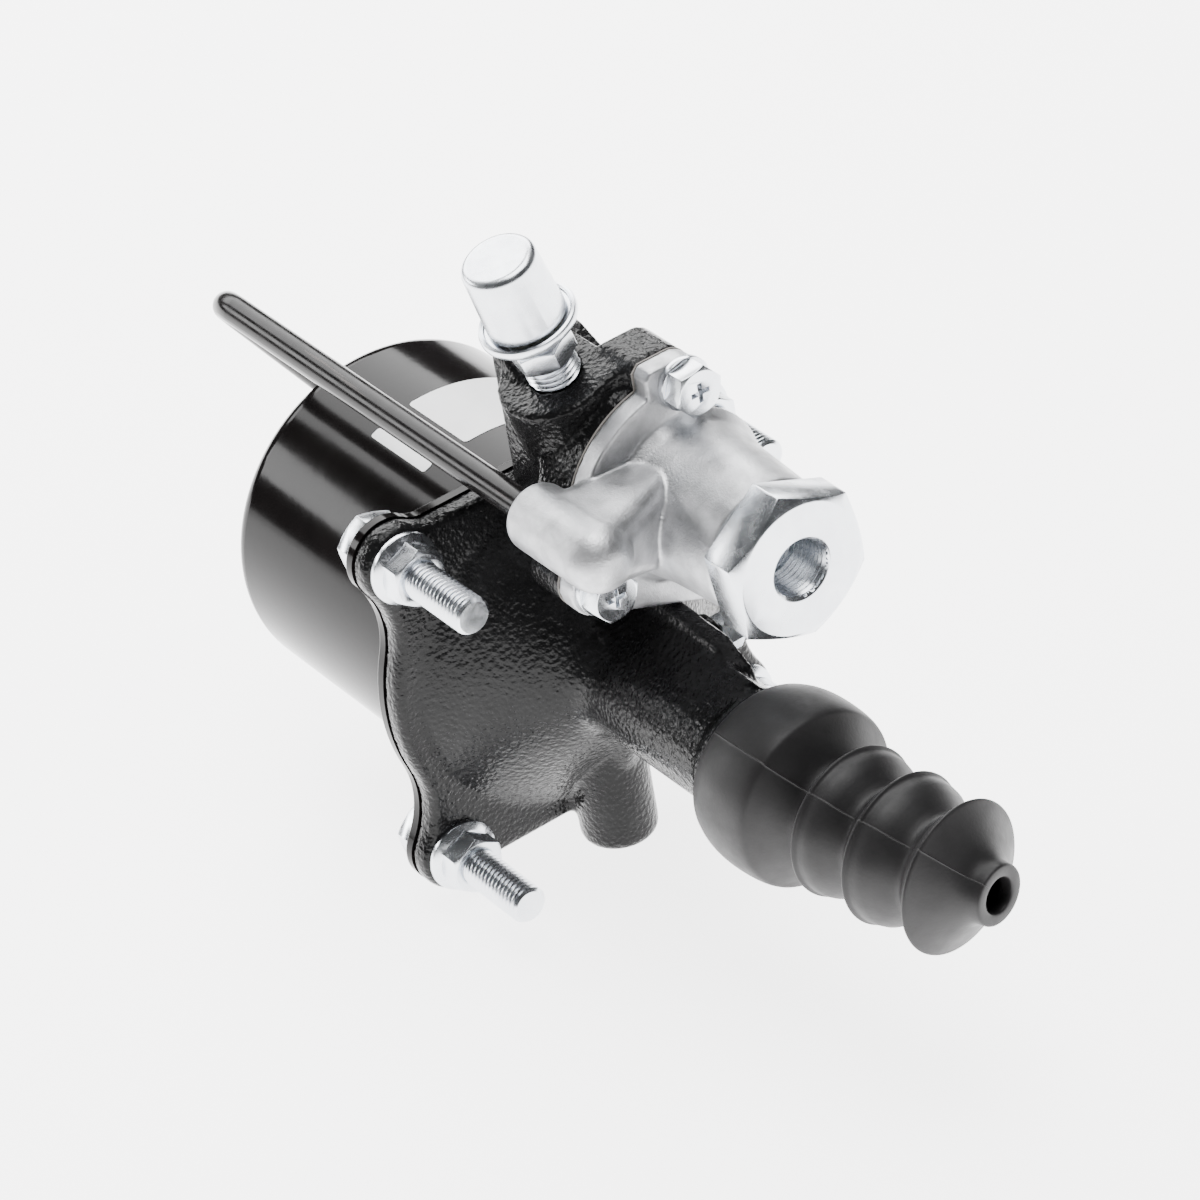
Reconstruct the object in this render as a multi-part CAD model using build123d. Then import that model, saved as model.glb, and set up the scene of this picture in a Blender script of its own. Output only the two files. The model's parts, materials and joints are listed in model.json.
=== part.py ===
"""Air-assisted clutch slave cylinder, in millimetres.

X runs forward along the slave cylinder towards the boot, Y to its left and Z up. The origin is on the
cylinder's axis, at the centre of the four flange bolts, in the plane of the front faces of their nuts,
where the bracket lies. The shapes are drawn from the front face of the ears, and moved back by the
height of the nuts when they are written out.
"""

from build123d import *
from math import cos, sin, radians, tan
import os

# Flange bolts and the ears they clamp; the free end is full size, the part inside the nut a little less
BOLT_R = 5.0
BOLT_SHANK_R = 4.8
BOLT_HOLE_R = 5.4
BOLT_TIP_X = 30.4
BOLT_TIP_CHAMFER = 0.9
BOLT_HEAD_FLATS = 16.0
BOLT_HEAD_TURN = 41.5
BOLT_HEAD_HEIGHT = 6.4
NUT_FLATS = 14.0
NUT_HEIGHT = 8.0
NUT_TURN = 24.0
NUT_FLANGE_R = 9.5
NUT_RIM = 1.3
NUT_CONE = 2.5
THREAD_PLAY = 0.04
EAR_R = 10.6
EAR_THICKNESS = 6.6

# Air cylinder shell
AIR_BORE_R = 45.0
SHELL_WALL = 1.5
SHELL_R = AIR_BORE_R + SHELL_WALL
SHELL_PLATE = 3.0
SHELL_REAR_X = -88.0
SHELL_RIM_R = 6.0
SEAL_GROOVE_R = SHELL_R + 1.3
SEAL_RING_R = 1.0

# Flange outline, and the bolts' square inside it
FLANGE_RIM = 7.3
FLANGE_R = SHELL_R + FLANGE_RIM
FLANGE_HALF_HEIGHT = FLANGE_R - 2.6
FLANGE_WAIST_R = 25.0
FLANGE_SHOULDER_R = 8.0
FLANGE_EDGE_R = 2.2
BOLT_INSET = 9.4
BOLT_HALF_PITCH = FLANGE_R - BOLT_INSET

# Dome, barrel and nose of the housing
DOME_BASE_R = SHELL_R + 0.5
DOME_FOOT_R = 4.0
DOME_TOP_X = 15.0
DOME_TOP_R = 27.0
DOME_EDGE_R = 9.0
BARREL_FOOT_X = 23.0
BARREL_FOOT_R = 10.0
CHAMBER_MOUTH_R = AIR_BORE_R - 2.5
CHAMBER_STEP_X = -1.0
CHAMBER_STEP_R = CHAMBER_MOUTH_R - 3.0
CHAMBER_TOP_X = 8.0
CHAMBER_TOP_R = 20.0
SPRING_SEAT_X = 3.0
SPRING_SEAT_R = 31.0
SPRING_SEAT_WIDTH = 8.0
BARREL_R = 16.0
NOSE_RING_X = 74.0
NOSE_FRONT_X = 92.0
NOSE_R = 18.4
NOSE_SHOULDER_X = 78.0
NOSE_RING_R = 19.0
NOSE_FLARE = 3.0
SLAVE_BORE_R = 11.1
SLAVE_BORE_REAR_X = 20.0

# Spine between the barrel and the valve housing, and its flank on the barrel
SPINE_Y = 6.0
SPINE_HALF_WIDTH = 2.5
SPINE_TOP_Z = 25.4
SPINE_FRONT_X = 70.0
FLANK_TILT = 35.0
FLANK_FACE = 15.0

# Bottom boss with the fluid port
PORT_X = 4.0
PORT_BOTTOM_Z = -60.0
PORT_BOSS_R = 10.2
PORT_THREAD_R = 5.1
PORT_DEPTH = 14.0
PASSAGE_R = 1.6

# Rod guide and seals
ROD_R = 5.0
ROD_PLAY = 0.04
GUIDE_R = 8.0
GUIDE_REAR_X = 4.0
GUIDE_LENGTH = 9.0
ROD_SEAL_LENGTH = 4.0
RETAINER_THICKNESS = 1.2
FIT_GAP = 0.03

# Power piston and its spring
PISTON_STROKE = 35.0
PISTON_REAR_X = -82.0
PISTON_PLATE = 3.0
PISTON_DISH_R = 20.0
PISTON_DISH_DEPTH = 9.0
CUP_LIP_LENGTH = 9.0
CUP_WALL = 2.2
CUP_WALL_GAP = 0.35
CLAMP_DISC = 2.0
CLAMP_DISC_R = 23.9
ROD_HEAD_R = 8.0
ROD_HEAD = 2.0
ROD_NUT_FLATS = 17.0
ROD_NUT_HEIGHT = 7.0
SPRING_R = 27.0
SPRING_WIRE_R = 1.7
SPRING_TURNS = 4

# Slave piston
SLAVE_PISTON_REAR_X = 22.5
SLAVE_PISTON_LENGTH = 30.0
SLAVE_CUP_LENGTH = 4.0
SLAVE_SOCKET_R = 6.0
STOP_RING_WIRE_R = 0.9

# Control valve: its axis, housing and screw lugs
VALVE_Y = 13.8
VALVE_Z = 54.6
VALVE_REAR_X = -3.0
VALVE_JOINT_X = 34.0
VALVE_HOUSING_R = 31.0
VALVE_NARROW_R = VALVE_HOUSING_R - 9.5
SCREW_CIRCLE_R = VALVE_HOUSING_R
SCREW_ANGLES = (83.0, 203.0, 295.0)
LUG_R = 7.8
LUG_DEPTH = 12.5
TOP_LUG_R = 6.3
TOP_LUG_REACH = 10.0
HOUSING_PLATE = 14.5
SCREW_R = 4.0
SCREW_FLATS = 12.0
SCREW_HEAD = 5.6
SCREW_BITE = 13.0
SCREW_HOLE_R = 4.3
WASHER_R = 7.0
WASHER_THICKNESS = 1.9
GASKET = 0.5
COVER_FLANGE = 5.6
COVER_BELL_R = 20.6
COVER_NECK_R = 18.2
COVER_FRONT_X = 73.4

# Valve internals
RELAY_BORE_R = 8.0
RELAY_BORE_REAR_X = 3.0
VALVE_BORE_R = 18.0
VALVE_BORE_REAR_X = 23.0
RELAY_REAR_X = 6.0
RELAY_LENGTH = 13.5
RELAY_TRAVEL = 3.0
POPPET_RATIO = 0.6
STEM_R = 5.0
STEM_BORE_R = 2.6
STEM_FRONT_X = 50.6
VALVE_DISC_X = 25.5
VALVE_DISC = 5.0
SEAT_X = 51.9
SEAT_R = 6.4
SEAT_WALL = 2.4
POPPET_R = 8.0
POPPET_LENGTH = 6.0
POPPET_SEAT_GAP = 0.1
COVER_BORE_R = 13.0
DELIVERY_BORE_R = 12.0
POPPET_SPRING_R = 5.6
POPPET_WIRE_R = 0.6
VALVE_SPRING_R = 9.0
VALVE_WIRE_R = 0.8

# Inlet plug
PLUG_FLATS = 36.0
PLUG_HEX = 11.5
PLUG_SHANK = 14.0
PLUG_HOLE_R = 7.3
PLUG_CHAMFER = 1.1
PLUG_TURN = 37.0
PLUG_POCKET_WALL = 2.0
PLUG_THREAD_LENGTH = 14.0
PLUG_POCKET_R = 9.0
PLUG_SEAL_THICKNESS = 0.9

# Air pipe and its boss on the cover
PIPE_Y = -24.0
PIPE_Z = 64.8
PIPE_R = 3.85
PIPE_WALL = 0.9
PIPE_FRONT_X = 44.0
PIPE_BEND_X = -112.0
PIPE_BEND_R = 12.0
PIPE_PORT_Y = 5.0
PIPE_PORT_Z = 21.5
PIPE_RETURN_R = 9.0
PIPE_SEAL_LENGTH = 3.0
PIPE_BOSS_R = 8.8
PIPE_BOSS_REAR_X = 31.5
PIPE_BOSS_FRONT_X = 66.0
PIPE_ARM_FRONT_X = 53.0
PIPE_ARM_HALF_HEIGHT = 13.0
PIPE_ARM_REACH = 24.0
PIPE_ARM_EDGE_R = 6.0
PIPE_DUCT_R = 2.8
PIPE_NUT_FLATS = 14.0
PIPE_NUT_HEIGHT = 6.0
SHELL_BOSS_R = 8.0
SHELL_BOSS_HEIGHT = 4.0

# Tower behind the valve, under the breather
TOWER_LEFT_Y = -9.0
TOWER_RIGHT_Y = 14.5
TOWER_TOP_Z = 89.0
TOWER_SADDLE_Z = 82.0
TOWER_FOOT_Z = 29.0
TOWER_BACK_X = 4.0
TOWER_EDGE_R = 3.0

# Breather
BREATHER_X = 15.9
BREATHER_Y = -2.2
BREATHER_Z = 87.0
BREATHER_TILT = 15.4
BREATHER_PAD_R = 15.0
BREATHER_PAD_CUT = 12.2
BREATHER_PAD_DEPTH = 22.0
BREATHER_STEM_R = 6.3
BREATHER_BITE = 9.0
BREATHER_NECK = 6.0
BREATHER_FLATS = 14.0
BREATHER_HEX = 6.5
BREATHER_COLLAR_Z = 16.6
BREATHER_COLLAR_R = 12.5
BREATHER_COLLAR = 2.6
BREATHER_BORE_R = 3.2
CAP_R = 10.1
CAP_TOP_R = 9.4
CAP_HEIGHT = 19.6
CAP_WALL = 0.8
CAP_EDGE_R = 2.0

# Boot: one band, then convolutions, bent towards +Y as the empty boot hangs
BOOT_WALL = 1.9
BOOT_BEND_R = 407.0
BOOT_BAND_LENGTH = 20.2
BOOT_REAR_R = 22.0
BOOT_BAND_R = 23.4
BOOT_BULGE_R = 24.0
BOOT_CRESTS = (32.5, 49.0, 67.4)
BOOT_CREST_R = 19.5
BOOT_VALLEY_R = 13.2
BOOT_EDGE = 0.9
BOOT_TIP_S = 80.1
BOOT_TIP_R = 7.9
BOOT_TIP_LENGTH = 2.6
BOOT_HOLE_R = 4.5

# Bleeder on the left of the barrel
BLEEDER_X = 27.0
BLEEDER_R = 4.0
BLEEDER_BOSS_R = 7.0
BLEEDER_BOSS_Y = 23.0
BLEEDER_FLATS = 9.0
BLEEDER_HEX = 5.0
BLEEDER_NIPPLE_R = 3.0
BLEEDER_NIPPLE = 8.0
BLEEDER_CAP_WALL = 1.4

PLATE_REAR_X = -EAR_THICKNESS - SHELL_PLATE
COVER_REAR_X = VALVE_JOINT_X + GASKET
COVER_FACE_X = COVER_REAR_X + COVER_FLANGE
BOLT_PLACES = [(BOLT_HALF_PITCH * y, BOLT_HALF_PITCH * z) for y in (-1, 1) for z in (-1, 1)]
SCREW_PLACES = [
    (
        VALVE_Y + SCREW_CIRCLE_R * cos(radians(angle)),
        VALVE_Z + SCREW_CIRCLE_R * sin(radians(angle)),
    )
    for angle in SCREW_ANGLES
]


def rod(x0, x1, r, y=0.0, z=0.0):
    """A cylinder along X between two stations."""
    return Pos((x0 + x1) / 2, y, z) * Rot(0, 90, 0) * Cylinder(r, x1 - x0)


def turned(profile, y=0.0, z=0.0):
    """A solid turned about a line along X, from a closed outline of (x, radius) corners."""
    face = make_face(Polyline(*profile, close=True))
    return Pos(0, y, z) * revolve(face, Axis.X)


def hexagon(x0, x1, flats, y=0.0, z=0.0, turn=0.0):
    """A hexagonal prism along X, of the given width across flats."""
    corner_r = flats / (2 * cos(radians(30)))
    outline = Plane.YZ.offset(x0) * Pos(y, z) * Rot(0, 0, turn) * RegularPolygon(corner_r, 6)
    return extrude(outline, x1 - x0)


def chamfered_hexagon(x0, x1, flats, y, z, turn=0.0, both=False):
    """A hexagonal prism whose front corners, or all of them, are turned down at 30 degrees."""
    corner_r = flats / (2 * cos(radians(30)))
    drop = (corner_r - 0.96 * flats / 2) * tan(radians(30))
    rear = (x0, 0.96 * flats / 2) if both else (x0, corner_r)
    envelope = turned(
        [(x0, 0), rear, (x0 + drop, corner_r), (x1 - drop, corner_r), (x1, 0.96 * flats / 2), (x1, 0)],
        y,
        z,
    )
    return hexagon(x0, x1, flats, y, z, turn) & envelope


def upright(r, height, x, y, z):
    """A cylinder along Z that stands on the given height."""
    return Pos(x, y, z + height / 2) * Cylinder(r, height)


def slab(x0, x1, sketch):
    """A flat outline in Y and Z, given thickness along X."""
    return extrude(Plane.YZ.offset(x0) * sketch, x1 - x0)


def disc_at(r, place):
    return Pos(place[0], place[1]) * Circle(r)


def coil(x0, x1, coil_r, wire_r, turns, y, z):
    """A spring along X whose outer faces lie at the two stations; its wire has eight flats."""
    height = x1 - x0 - 2 * wire_r
    path = Helix(height / turns, height, coil_r)
    section = Plane(origin=path @ 0, x_dir=(0, 0, 1), z_dir=path % 0) * RegularPolygon(wire_r, 8)
    spring = sweep(section, path=path, is_frenet=True)
    return Pos(x0 + wire_r, y, z) * Rot(0, 90, 0) * spring


def hoop(x, ring_r, wire_r):
    """A ring about the cylinder's axis; its section has eight corners."""
    return revolve(Pos(x, ring_r) * RegularPolygon(wire_r, 8), Axis.X)


def flange_outline():
    """The ears, the round sides and the nearly straight top and bottom of the flange."""
    disc = Circle(FLANGE_R) & Rectangle(3 * FLANGE_R, 2 * FLANGE_HALF_HEIGHT)
    outline = disc + Rectangle(2 * BOLT_HALF_PITCH, 2 * FLANGE_HALF_HEIGHT)
    ear = Vector(BOLT_HALF_PITCH, BOLT_HALF_PITCH)
    # The waist's circle touches both the disc and the ear from outside.
    reach = FLANGE_R + FLANGE_WAIST_R
    along = (reach ** 2 - (EAR_R + FLANGE_WAIST_R) ** 2 + ear.length ** 2) / (2 * ear.length)
    across = (reach ** 2 - along ** 2) ** 0.5
    waist = ear.normalized() * along + Vector(1, -1).normalized() * across
    # The shoulder's circle touches the ear and the straight edge.
    rise = FLANGE_HALF_HEIGHT + FLANGE_SHOULDER_R - ear.Y
    shoulder = ear + Vector(-((EAR_R + FLANGE_SHOULDER_R) ** 2 - rise ** 2) ** 0.5, rise)
    corner = make_face(Polyline((0, 0), ear, waist, close=True)) - disc_at(FLANGE_WAIST_R, (waist.X, waist.Y))
    step = Polyline(ear, shoulder, (shoulder.X, 0), (ear.X, 0), close=True)
    corner += make_face(step) - disc_at(FLANGE_SHOULDER_R, (shoulder.X, shoulder.Y))
    corner += disc_at(EAR_R, (ear.X, ear.Y))
    corner += mirror(corner, Plane.YZ)
    return outline + corner + mirror(corner, Plane.XZ)


def cover_outline():
    """The cover's flange: narrow on the side of the bolt, wide over the air passage, with three lugs."""
    centre = (VALVE_Y, VALVE_Z)
    top, low, hidden = SCREW_PLACES
    outline = disc_at(VALVE_NARROW_R, centre)
    pie = disc_at(VALVE_HOUSING_R, centre)
    reach = 3 * VALVE_HOUSING_R
    corners = [centre]
    for angle in (SCREW_ANGLES[0], (SCREW_ANGLES[0] + SCREW_ANGLES[1]) / 2, SCREW_ANGLES[1]):
        corners.append((centre[0] + reach * cos(radians(angle)), centre[1] + reach * sin(radians(angle))))
    outline += pie & make_face(Polyline(*corners, close=True))
    hidden_lug = Edge.make_circle(LUG_R, Plane(origin=(*hidden, 0)))
    low_lug = Edge.make_circle(LUG_R, Plane(origin=(*low, 0)))
    top_lug = Edge.make_circle(TOP_LUG_R, Plane(origin=(*top, 0)))
    middle = Edge.make_circle(VALVE_NARROW_R - LUG_R, Plane(origin=(*centre, 0)))
    outline += make_hull([low_lug, hidden_lug, middle])
    outline += make_hull([top_lug, middle])
    shoulder = Pos(top[0] - TOP_LUG_REACH / 2, top[1] - TOP_LUG_R) * Rectangle(
        TOP_LUG_REACH, 4 * TOP_LUG_R) & make_face(Polyline(
            (top[0] - TOP_LUG_REACH, centre[1]), (top[0] - TOP_LUG_REACH, top[1] + TOP_LUG_R - 2),
            (top[0] - TOP_LUG_REACH + 2, top[1] + TOP_LUG_R), (top[0], top[1] + TOP_LUG_R),
            (top[0], centre[1]), close=True))
    outline += shoulder
    return outline


def shell():
    """The pressed cup with its flange plate, the rear boss and its port."""
    rear = SHELL_REAR_X
    outer = rod(rear, PLATE_REAR_X + 0.5, SHELL_R)
    outer = fillet(outer.faces().sort_by(Axis.X)[0].edges(), SHELL_RIM_R)
    plate = slab(PLATE_REAR_X, -EAR_THICKNESS, flange_outline())
    plate = fillet(plate.faces().sort_by(Axis.X)[0].edges(), 0.8)
    boss = rod(rear - SHELL_BOSS_HEIGHT, rear + 1, SHELL_BOSS_R, PIPE_PORT_Y, PIPE_PORT_Z)
    inner = rod(rear + SHELL_WALL, 1, AIR_BORE_R)
    inner = fillet(inner.faces().sort_by(Axis.X)[0].edges(), SHELL_RIM_R - SHELL_WALL)
    body = outer + plate + boss - inner
    body -= rod(rear - 2 * SHELL_BOSS_HEIGHT, 0, PIPE_R + FIT_GAP, PIPE_PORT_Y, PIPE_PORT_Z)
    for y, z in BOLT_PLACES:
        body -= rod(PLATE_REAR_X - 1, 0, BOLT_HOLE_R, y, z)
    return body


def shell_seal():
    """The ring that seals the shell's mouth against the housing."""
    return hoop(-EAR_THICKNESS + SEAL_RING_R, SEAL_GROOVE_R, SEAL_RING_R)


def valve_housing():
    """The block of the casting that carries the control valve and the breather."""
    plate_x = VALVE_JOINT_X - HOUSING_PLATE
    body = slab(plate_x, VALVE_JOINT_X, housing_outline())
    for y, z in SCREW_PLACES[1:]:
        body += rod(VALVE_JOINT_X - LUG_DEPTH, VALVE_JOINT_X, LUG_R, y, z)
    side = Polyline(
        (VALVE_REAR_X, TOWER_FOOT_Z),
        (VALVE_REAR_X, TOWER_TOP_Z),
        (TOWER_BACK_X, TOWER_TOP_Z),
        (plate_x + 1, TOWER_SADDLE_Z),
        (plate_x + 1, TOWER_FOOT_Z),
        close=True,
    )
    tower = extrude(Plane.XZ.offset(-TOWER_RIGHT_Y) * make_face(side), TOWER_RIGHT_Y - TOWER_LEFT_Y)
    rear = tower.faces().sort_by(Axis.X)[0]
    tower = fillet(rear.edges().filter_by(Axis.Z), TOWER_EDGE_R)
    return body + tower + breather_pad()


def breather_pad():
    """The leaning boss that carries the breather, round on the pipe's side and square towards the cover."""
    seat = breather_plane()
    corner = BREATHER_PAD_R + 1.2
    pad = Circle(BREATHER_PAD_R) & Pos(0, BREATHER_PAD_CUT - 2 * BREATHER_PAD_R) * Rectangle(
        4 * BREATHER_PAD_R, 4 * BREATHER_PAD_R)
    pad += make_face(Polyline(
        (0, 0),
        (0.67 * BREATHER_PAD_R, -0.57 * BREATHER_PAD_R),
        (corner, BREATHER_PAD_CUT),
        (0, BREATHER_PAD_CUT),
        close=True,
    ))
    boss = extrude(seat.offset(-BREATHER_PAD_DEPTH) * pad, BREATHER_PAD_DEPTH)
    neck = Pos(0, 0, -BREATHER_PAD_DEPTH) * Cone(BREATHER_PAD_R - 3, BREATHER_PAD_R - 1, 1.3 * BREATHER_PAD_DEPTH)
    reach = slab(VALVE_REAR_X, VALVE_JOINT_X, Rectangle(8 * VALVE_HOUSING_R, 8 * VALVE_HOUSING_R))
    return (boss + seat * neck) & reach


def housing_outline():
    """The cover's outline without its two long lugs, which are shallower on the casting."""
    disc = disc_at(VALVE_HOUSING_R - 1, (VALVE_Y, VALVE_Z))
    top = SCREW_PLACES[0]
    lug = Pos(top[0] - TOP_LUG_REACH / 2, top[1]) * Rectangle(TOP_LUG_REACH + 2 * TOP_LUG_R, 4 * TOP_LUG_R)
    return cover_outline() & (disc + lug)


def breather_plane():
    """The seat of the breather on the housing, with its Z along the breather's axis."""
    lean = radians(BREATHER_TILT)
    return Plane(origin=(BREATHER_X, BREATHER_Y, BREATHER_Z), x_dir=(1, 0, 0), z_dir=(0, -sin(lean), cos(lean)))


def cast_body():
    """The black casting: flange, dome, slave cylinder, nose, valve housing and bottom boss."""
    flange = slab(-EAR_THICKNESS, 0, flange_outline())
    flange = fillet(flange.faces().sort_by(Axis.X)[-1].edges(), FLANGE_EDGE_R)
    dome = make_face(Polyline(
        (-EAR_THICKNESS, 0),
        (-EAR_THICKNESS, DOME_BASE_R + DOME_FOOT_R),
        (0, DOME_BASE_R + DOME_FOOT_R),
        (0, DOME_BASE_R),
        (DOME_TOP_X, DOME_TOP_R),
        (BARREL_FOOT_X, BARREL_R),
        (NOSE_RING_X - NOSE_FLARE, BARREL_R),
        (NOSE_RING_X - NOSE_FLARE, 0),
        close=True,
    ))
    for place, blend in (((0, DOME_BASE_R), DOME_FOOT_R - 0.5), ((DOME_TOP_X, DOME_TOP_R), DOME_EDGE_R),
                         ((BARREL_FOOT_X, BARREL_R), BARREL_FOOT_R)):
        corner = dome.vertices().sort_by_distance((*place, 0))[0]
        dome = fillet(corner, blend)
    dome = revolve(dome, Axis.X)
    barrel = turned([
        (0, 0),
        (0, BARREL_R),
        (NOSE_RING_X - NOSE_FLARE, BARREL_R),
        (NOSE_RING_X, NOSE_RING_R),
        (NOSE_SHOULDER_X, NOSE_RING_R),
        (NOSE_SHOULDER_X, NOSE_R),
        (NOSE_FRONT_X, NOSE_R),
        (NOSE_FRONT_X, 0),
    ])
    body = flange + dome + barrel + spine() + valve_housing()
    boss_top = -BARREL_R + 4
    boss = upright(PORT_BOSS_R, boss_top - PORT_BOTTOM_Z, PORT_X, 0, PORT_BOTTOM_Z)
    boss = fillet(boss.faces().sort_by(Axis.Z)[0].edges(), 2.5)
    keep = slab(-EAR_THICKNESS, 100, Rectangle(300, 300))
    body += boss & keep
    body += Pos(BLEEDER_X, BLEEDER_BOSS_Y / 2, 0) * Rot(90, 0, 0) * Cylinder(BLEEDER_BOSS_R, BLEEDER_BOSS_Y)
    return body - body_cavities()


def spine():
    """The rib from the barrel up to the valve housing, with its flank down to the barrel's side."""
    outline = make_face(Polyline(
        (DOME_TOP_X - 10, 0), (DOME_TOP_X - 10, SPINE_TOP_Z + 12), (VALVE_JOINT_X - 1, SPINE_TOP_Z + 8),
        (VALVE_JOINT_X - 1, SPINE_TOP_Z), (SPINE_FRONT_X - 18, SPINE_TOP_Z - 0.8),
        (SPINE_FRONT_X - 12, SPINE_TOP_Z - 1.3), (SPINE_FRONT_X - 9, NOSE_RING_R + 3),
        (SPINE_FRONT_X - 4, NOSE_RING_R + 0.6), (SPINE_FRONT_X - 2, BARREL_R), (SPINE_FRONT_X - 2, 0),
        close=True,
    ))
    rib = extrude(Plane.XZ.offset(-SPINE_Y - SPINE_HALF_WIDTH) * outline, 2 * SPINE_HALF_WIDTH)
    flank = Rot(FLANK_TILT, 0, 0) * Pos((DOME_TOP_X + SPINE_FRONT_X) / 2, FLANK_FACE / 2, BARREL_R / 2)
    flank = flank * Box(SPINE_FRONT_X - DOME_TOP_X + 6, FLANK_FACE, BARREL_R)
    return rib + flank


def body_cavities():
    """Everything that is bored, cored or drilled in the casting."""
    cut = turned([(-EAR_THICKNESS - 1, 0), (-EAR_THICKNESS - 1, CHAMBER_MOUTH_R),
                  (CHAMBER_STEP_X, CHAMBER_MOUTH_R - 1), (CHAMBER_STEP_X, CHAMBER_STEP_R),
                  (SPRING_SEAT_X, SPRING_SEAT_R), (SPRING_SEAT_X, SPRING_SEAT_R - SPRING_SEAT_WIDTH),
                  (CHAMBER_TOP_X, CHAMBER_TOP_R), (CHAMBER_TOP_X, GUIDE_R + 5),
                  (GUIDE_REAR_X - RETAINER_THICKNESS - 1, GUIDE_R + 4),
                  (GUIDE_REAR_X - RETAINER_THICKNESS - 1, 0)])
    guide_front = GUIDE_REAR_X + GUIDE_LENGTH
    cut += rod(-5, guide_front + ROD_SEAL_LENGTH, GUIDE_R + FIT_GAP)
    cut += rod(0, SLAVE_BORE_REAR_X + 1, ROD_R + 0.5)
    cut += rod(SLAVE_BORE_REAR_X, NOSE_FRONT_X + 1, SLAVE_BORE_R)
    cut += rod(NOSE_FRONT_X - 3 - STOP_RING_WIRE_R, NOSE_FRONT_X - 3 + STOP_RING_WIRE_R,
               SLAVE_BORE_R + 0.2 + STOP_RING_WIRE_R)
    for y, z in BOLT_PLACES:
        cut += rod(-EAR_THICKNESS - 1, 1, BOLT_HOLE_R, y, z)
    for y, z in SCREW_PLACES:
        cut += rod(COVER_FACE_X - COVER_FLANGE - SCREW_BITE - 2, VALVE_JOINT_X + 1, SCREW_R + THREAD_PLAY, y, z)
    groove = Pos(-EAR_THICKNESS, 0, 0) * Rot(0, 90, 0) * (
        Cylinder(SEAL_GROOVE_R + SEAL_RING_R + FIT_GAP, 4 * SEAL_RING_R + 2 * FIT_GAP)
        - Cylinder(SEAL_GROOVE_R - SEAL_RING_R - FIT_GAP, 5 * SEAL_RING_R)
    )
    cut += groove
    cut += rod(RELAY_BORE_REAR_X, VALVE_BORE_REAR_X + 1, RELAY_BORE_R, VALVE_Y, VALVE_Z)
    cut += rod(VALVE_BORE_REAR_X, VALVE_JOINT_X + 1, VALVE_BORE_R, VALVE_Y, VALVE_Z)
    cut += upright(PORT_THREAD_R, PORT_DEPTH + 1, PORT_X, 0, PORT_BOTTOM_Z - 1)
    port_end = Vector(PORT_X, 0, PORT_BOTTOM_Z + PORT_DEPTH - 1)
    bore_side = Vector(SLAVE_BORE_REAR_X + 2, 0, -SLAVE_BORE_R + 2)
    cut += drilled(port_end, bore_side, PASSAGE_R)
    relay_side = Vector(RELAY_BORE_REAR_X + 2, VALVE_Y, VALVE_Z)
    cut += drilled(Vector(SLAVE_BORE_REAR_X + 2, 2, SLAVE_BORE_R - 2), relay_side, PASSAGE_R)
    seat = breather_plane()
    cut += seat * Pos(0, 0, 1 - BREATHER_BITE / 2) * Cylinder(BREATHER_STEM_R + THREAD_PLAY, BREATHER_BITE + 2)
    vent_end = Vector(VALVE_BORE_REAR_X + 3, VALVE_Y - 5, VALVE_Z + VALVE_BORE_R - 4)
    cut += drilled(seat.origin - seat.z_dir * (BREATHER_BITE - 1), vent_end, 2.5)
    bleed = Pos(BLEEDER_X, (BLEEDER_BOSS_Y + 1 + 12) / 2, 0) * Rot(90, 0, 0)
    cut += bleed * Cylinder(BLEEDER_R + THREAD_PLAY, BLEEDER_BOSS_Y + 1 - 12)
    cut += Pos(BLEEDER_X, 10, 0) * Rot(90, 0, 0) * Cylinder(1.2, 8)
    return cut


def drilled(start, end, r):
    """A drilling between two points."""
    span = end - start
    return Plane(origin=start, z_dir=span) * Pos(0, 0, span.length / 2) * Cylinder(r, span.length)


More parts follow.
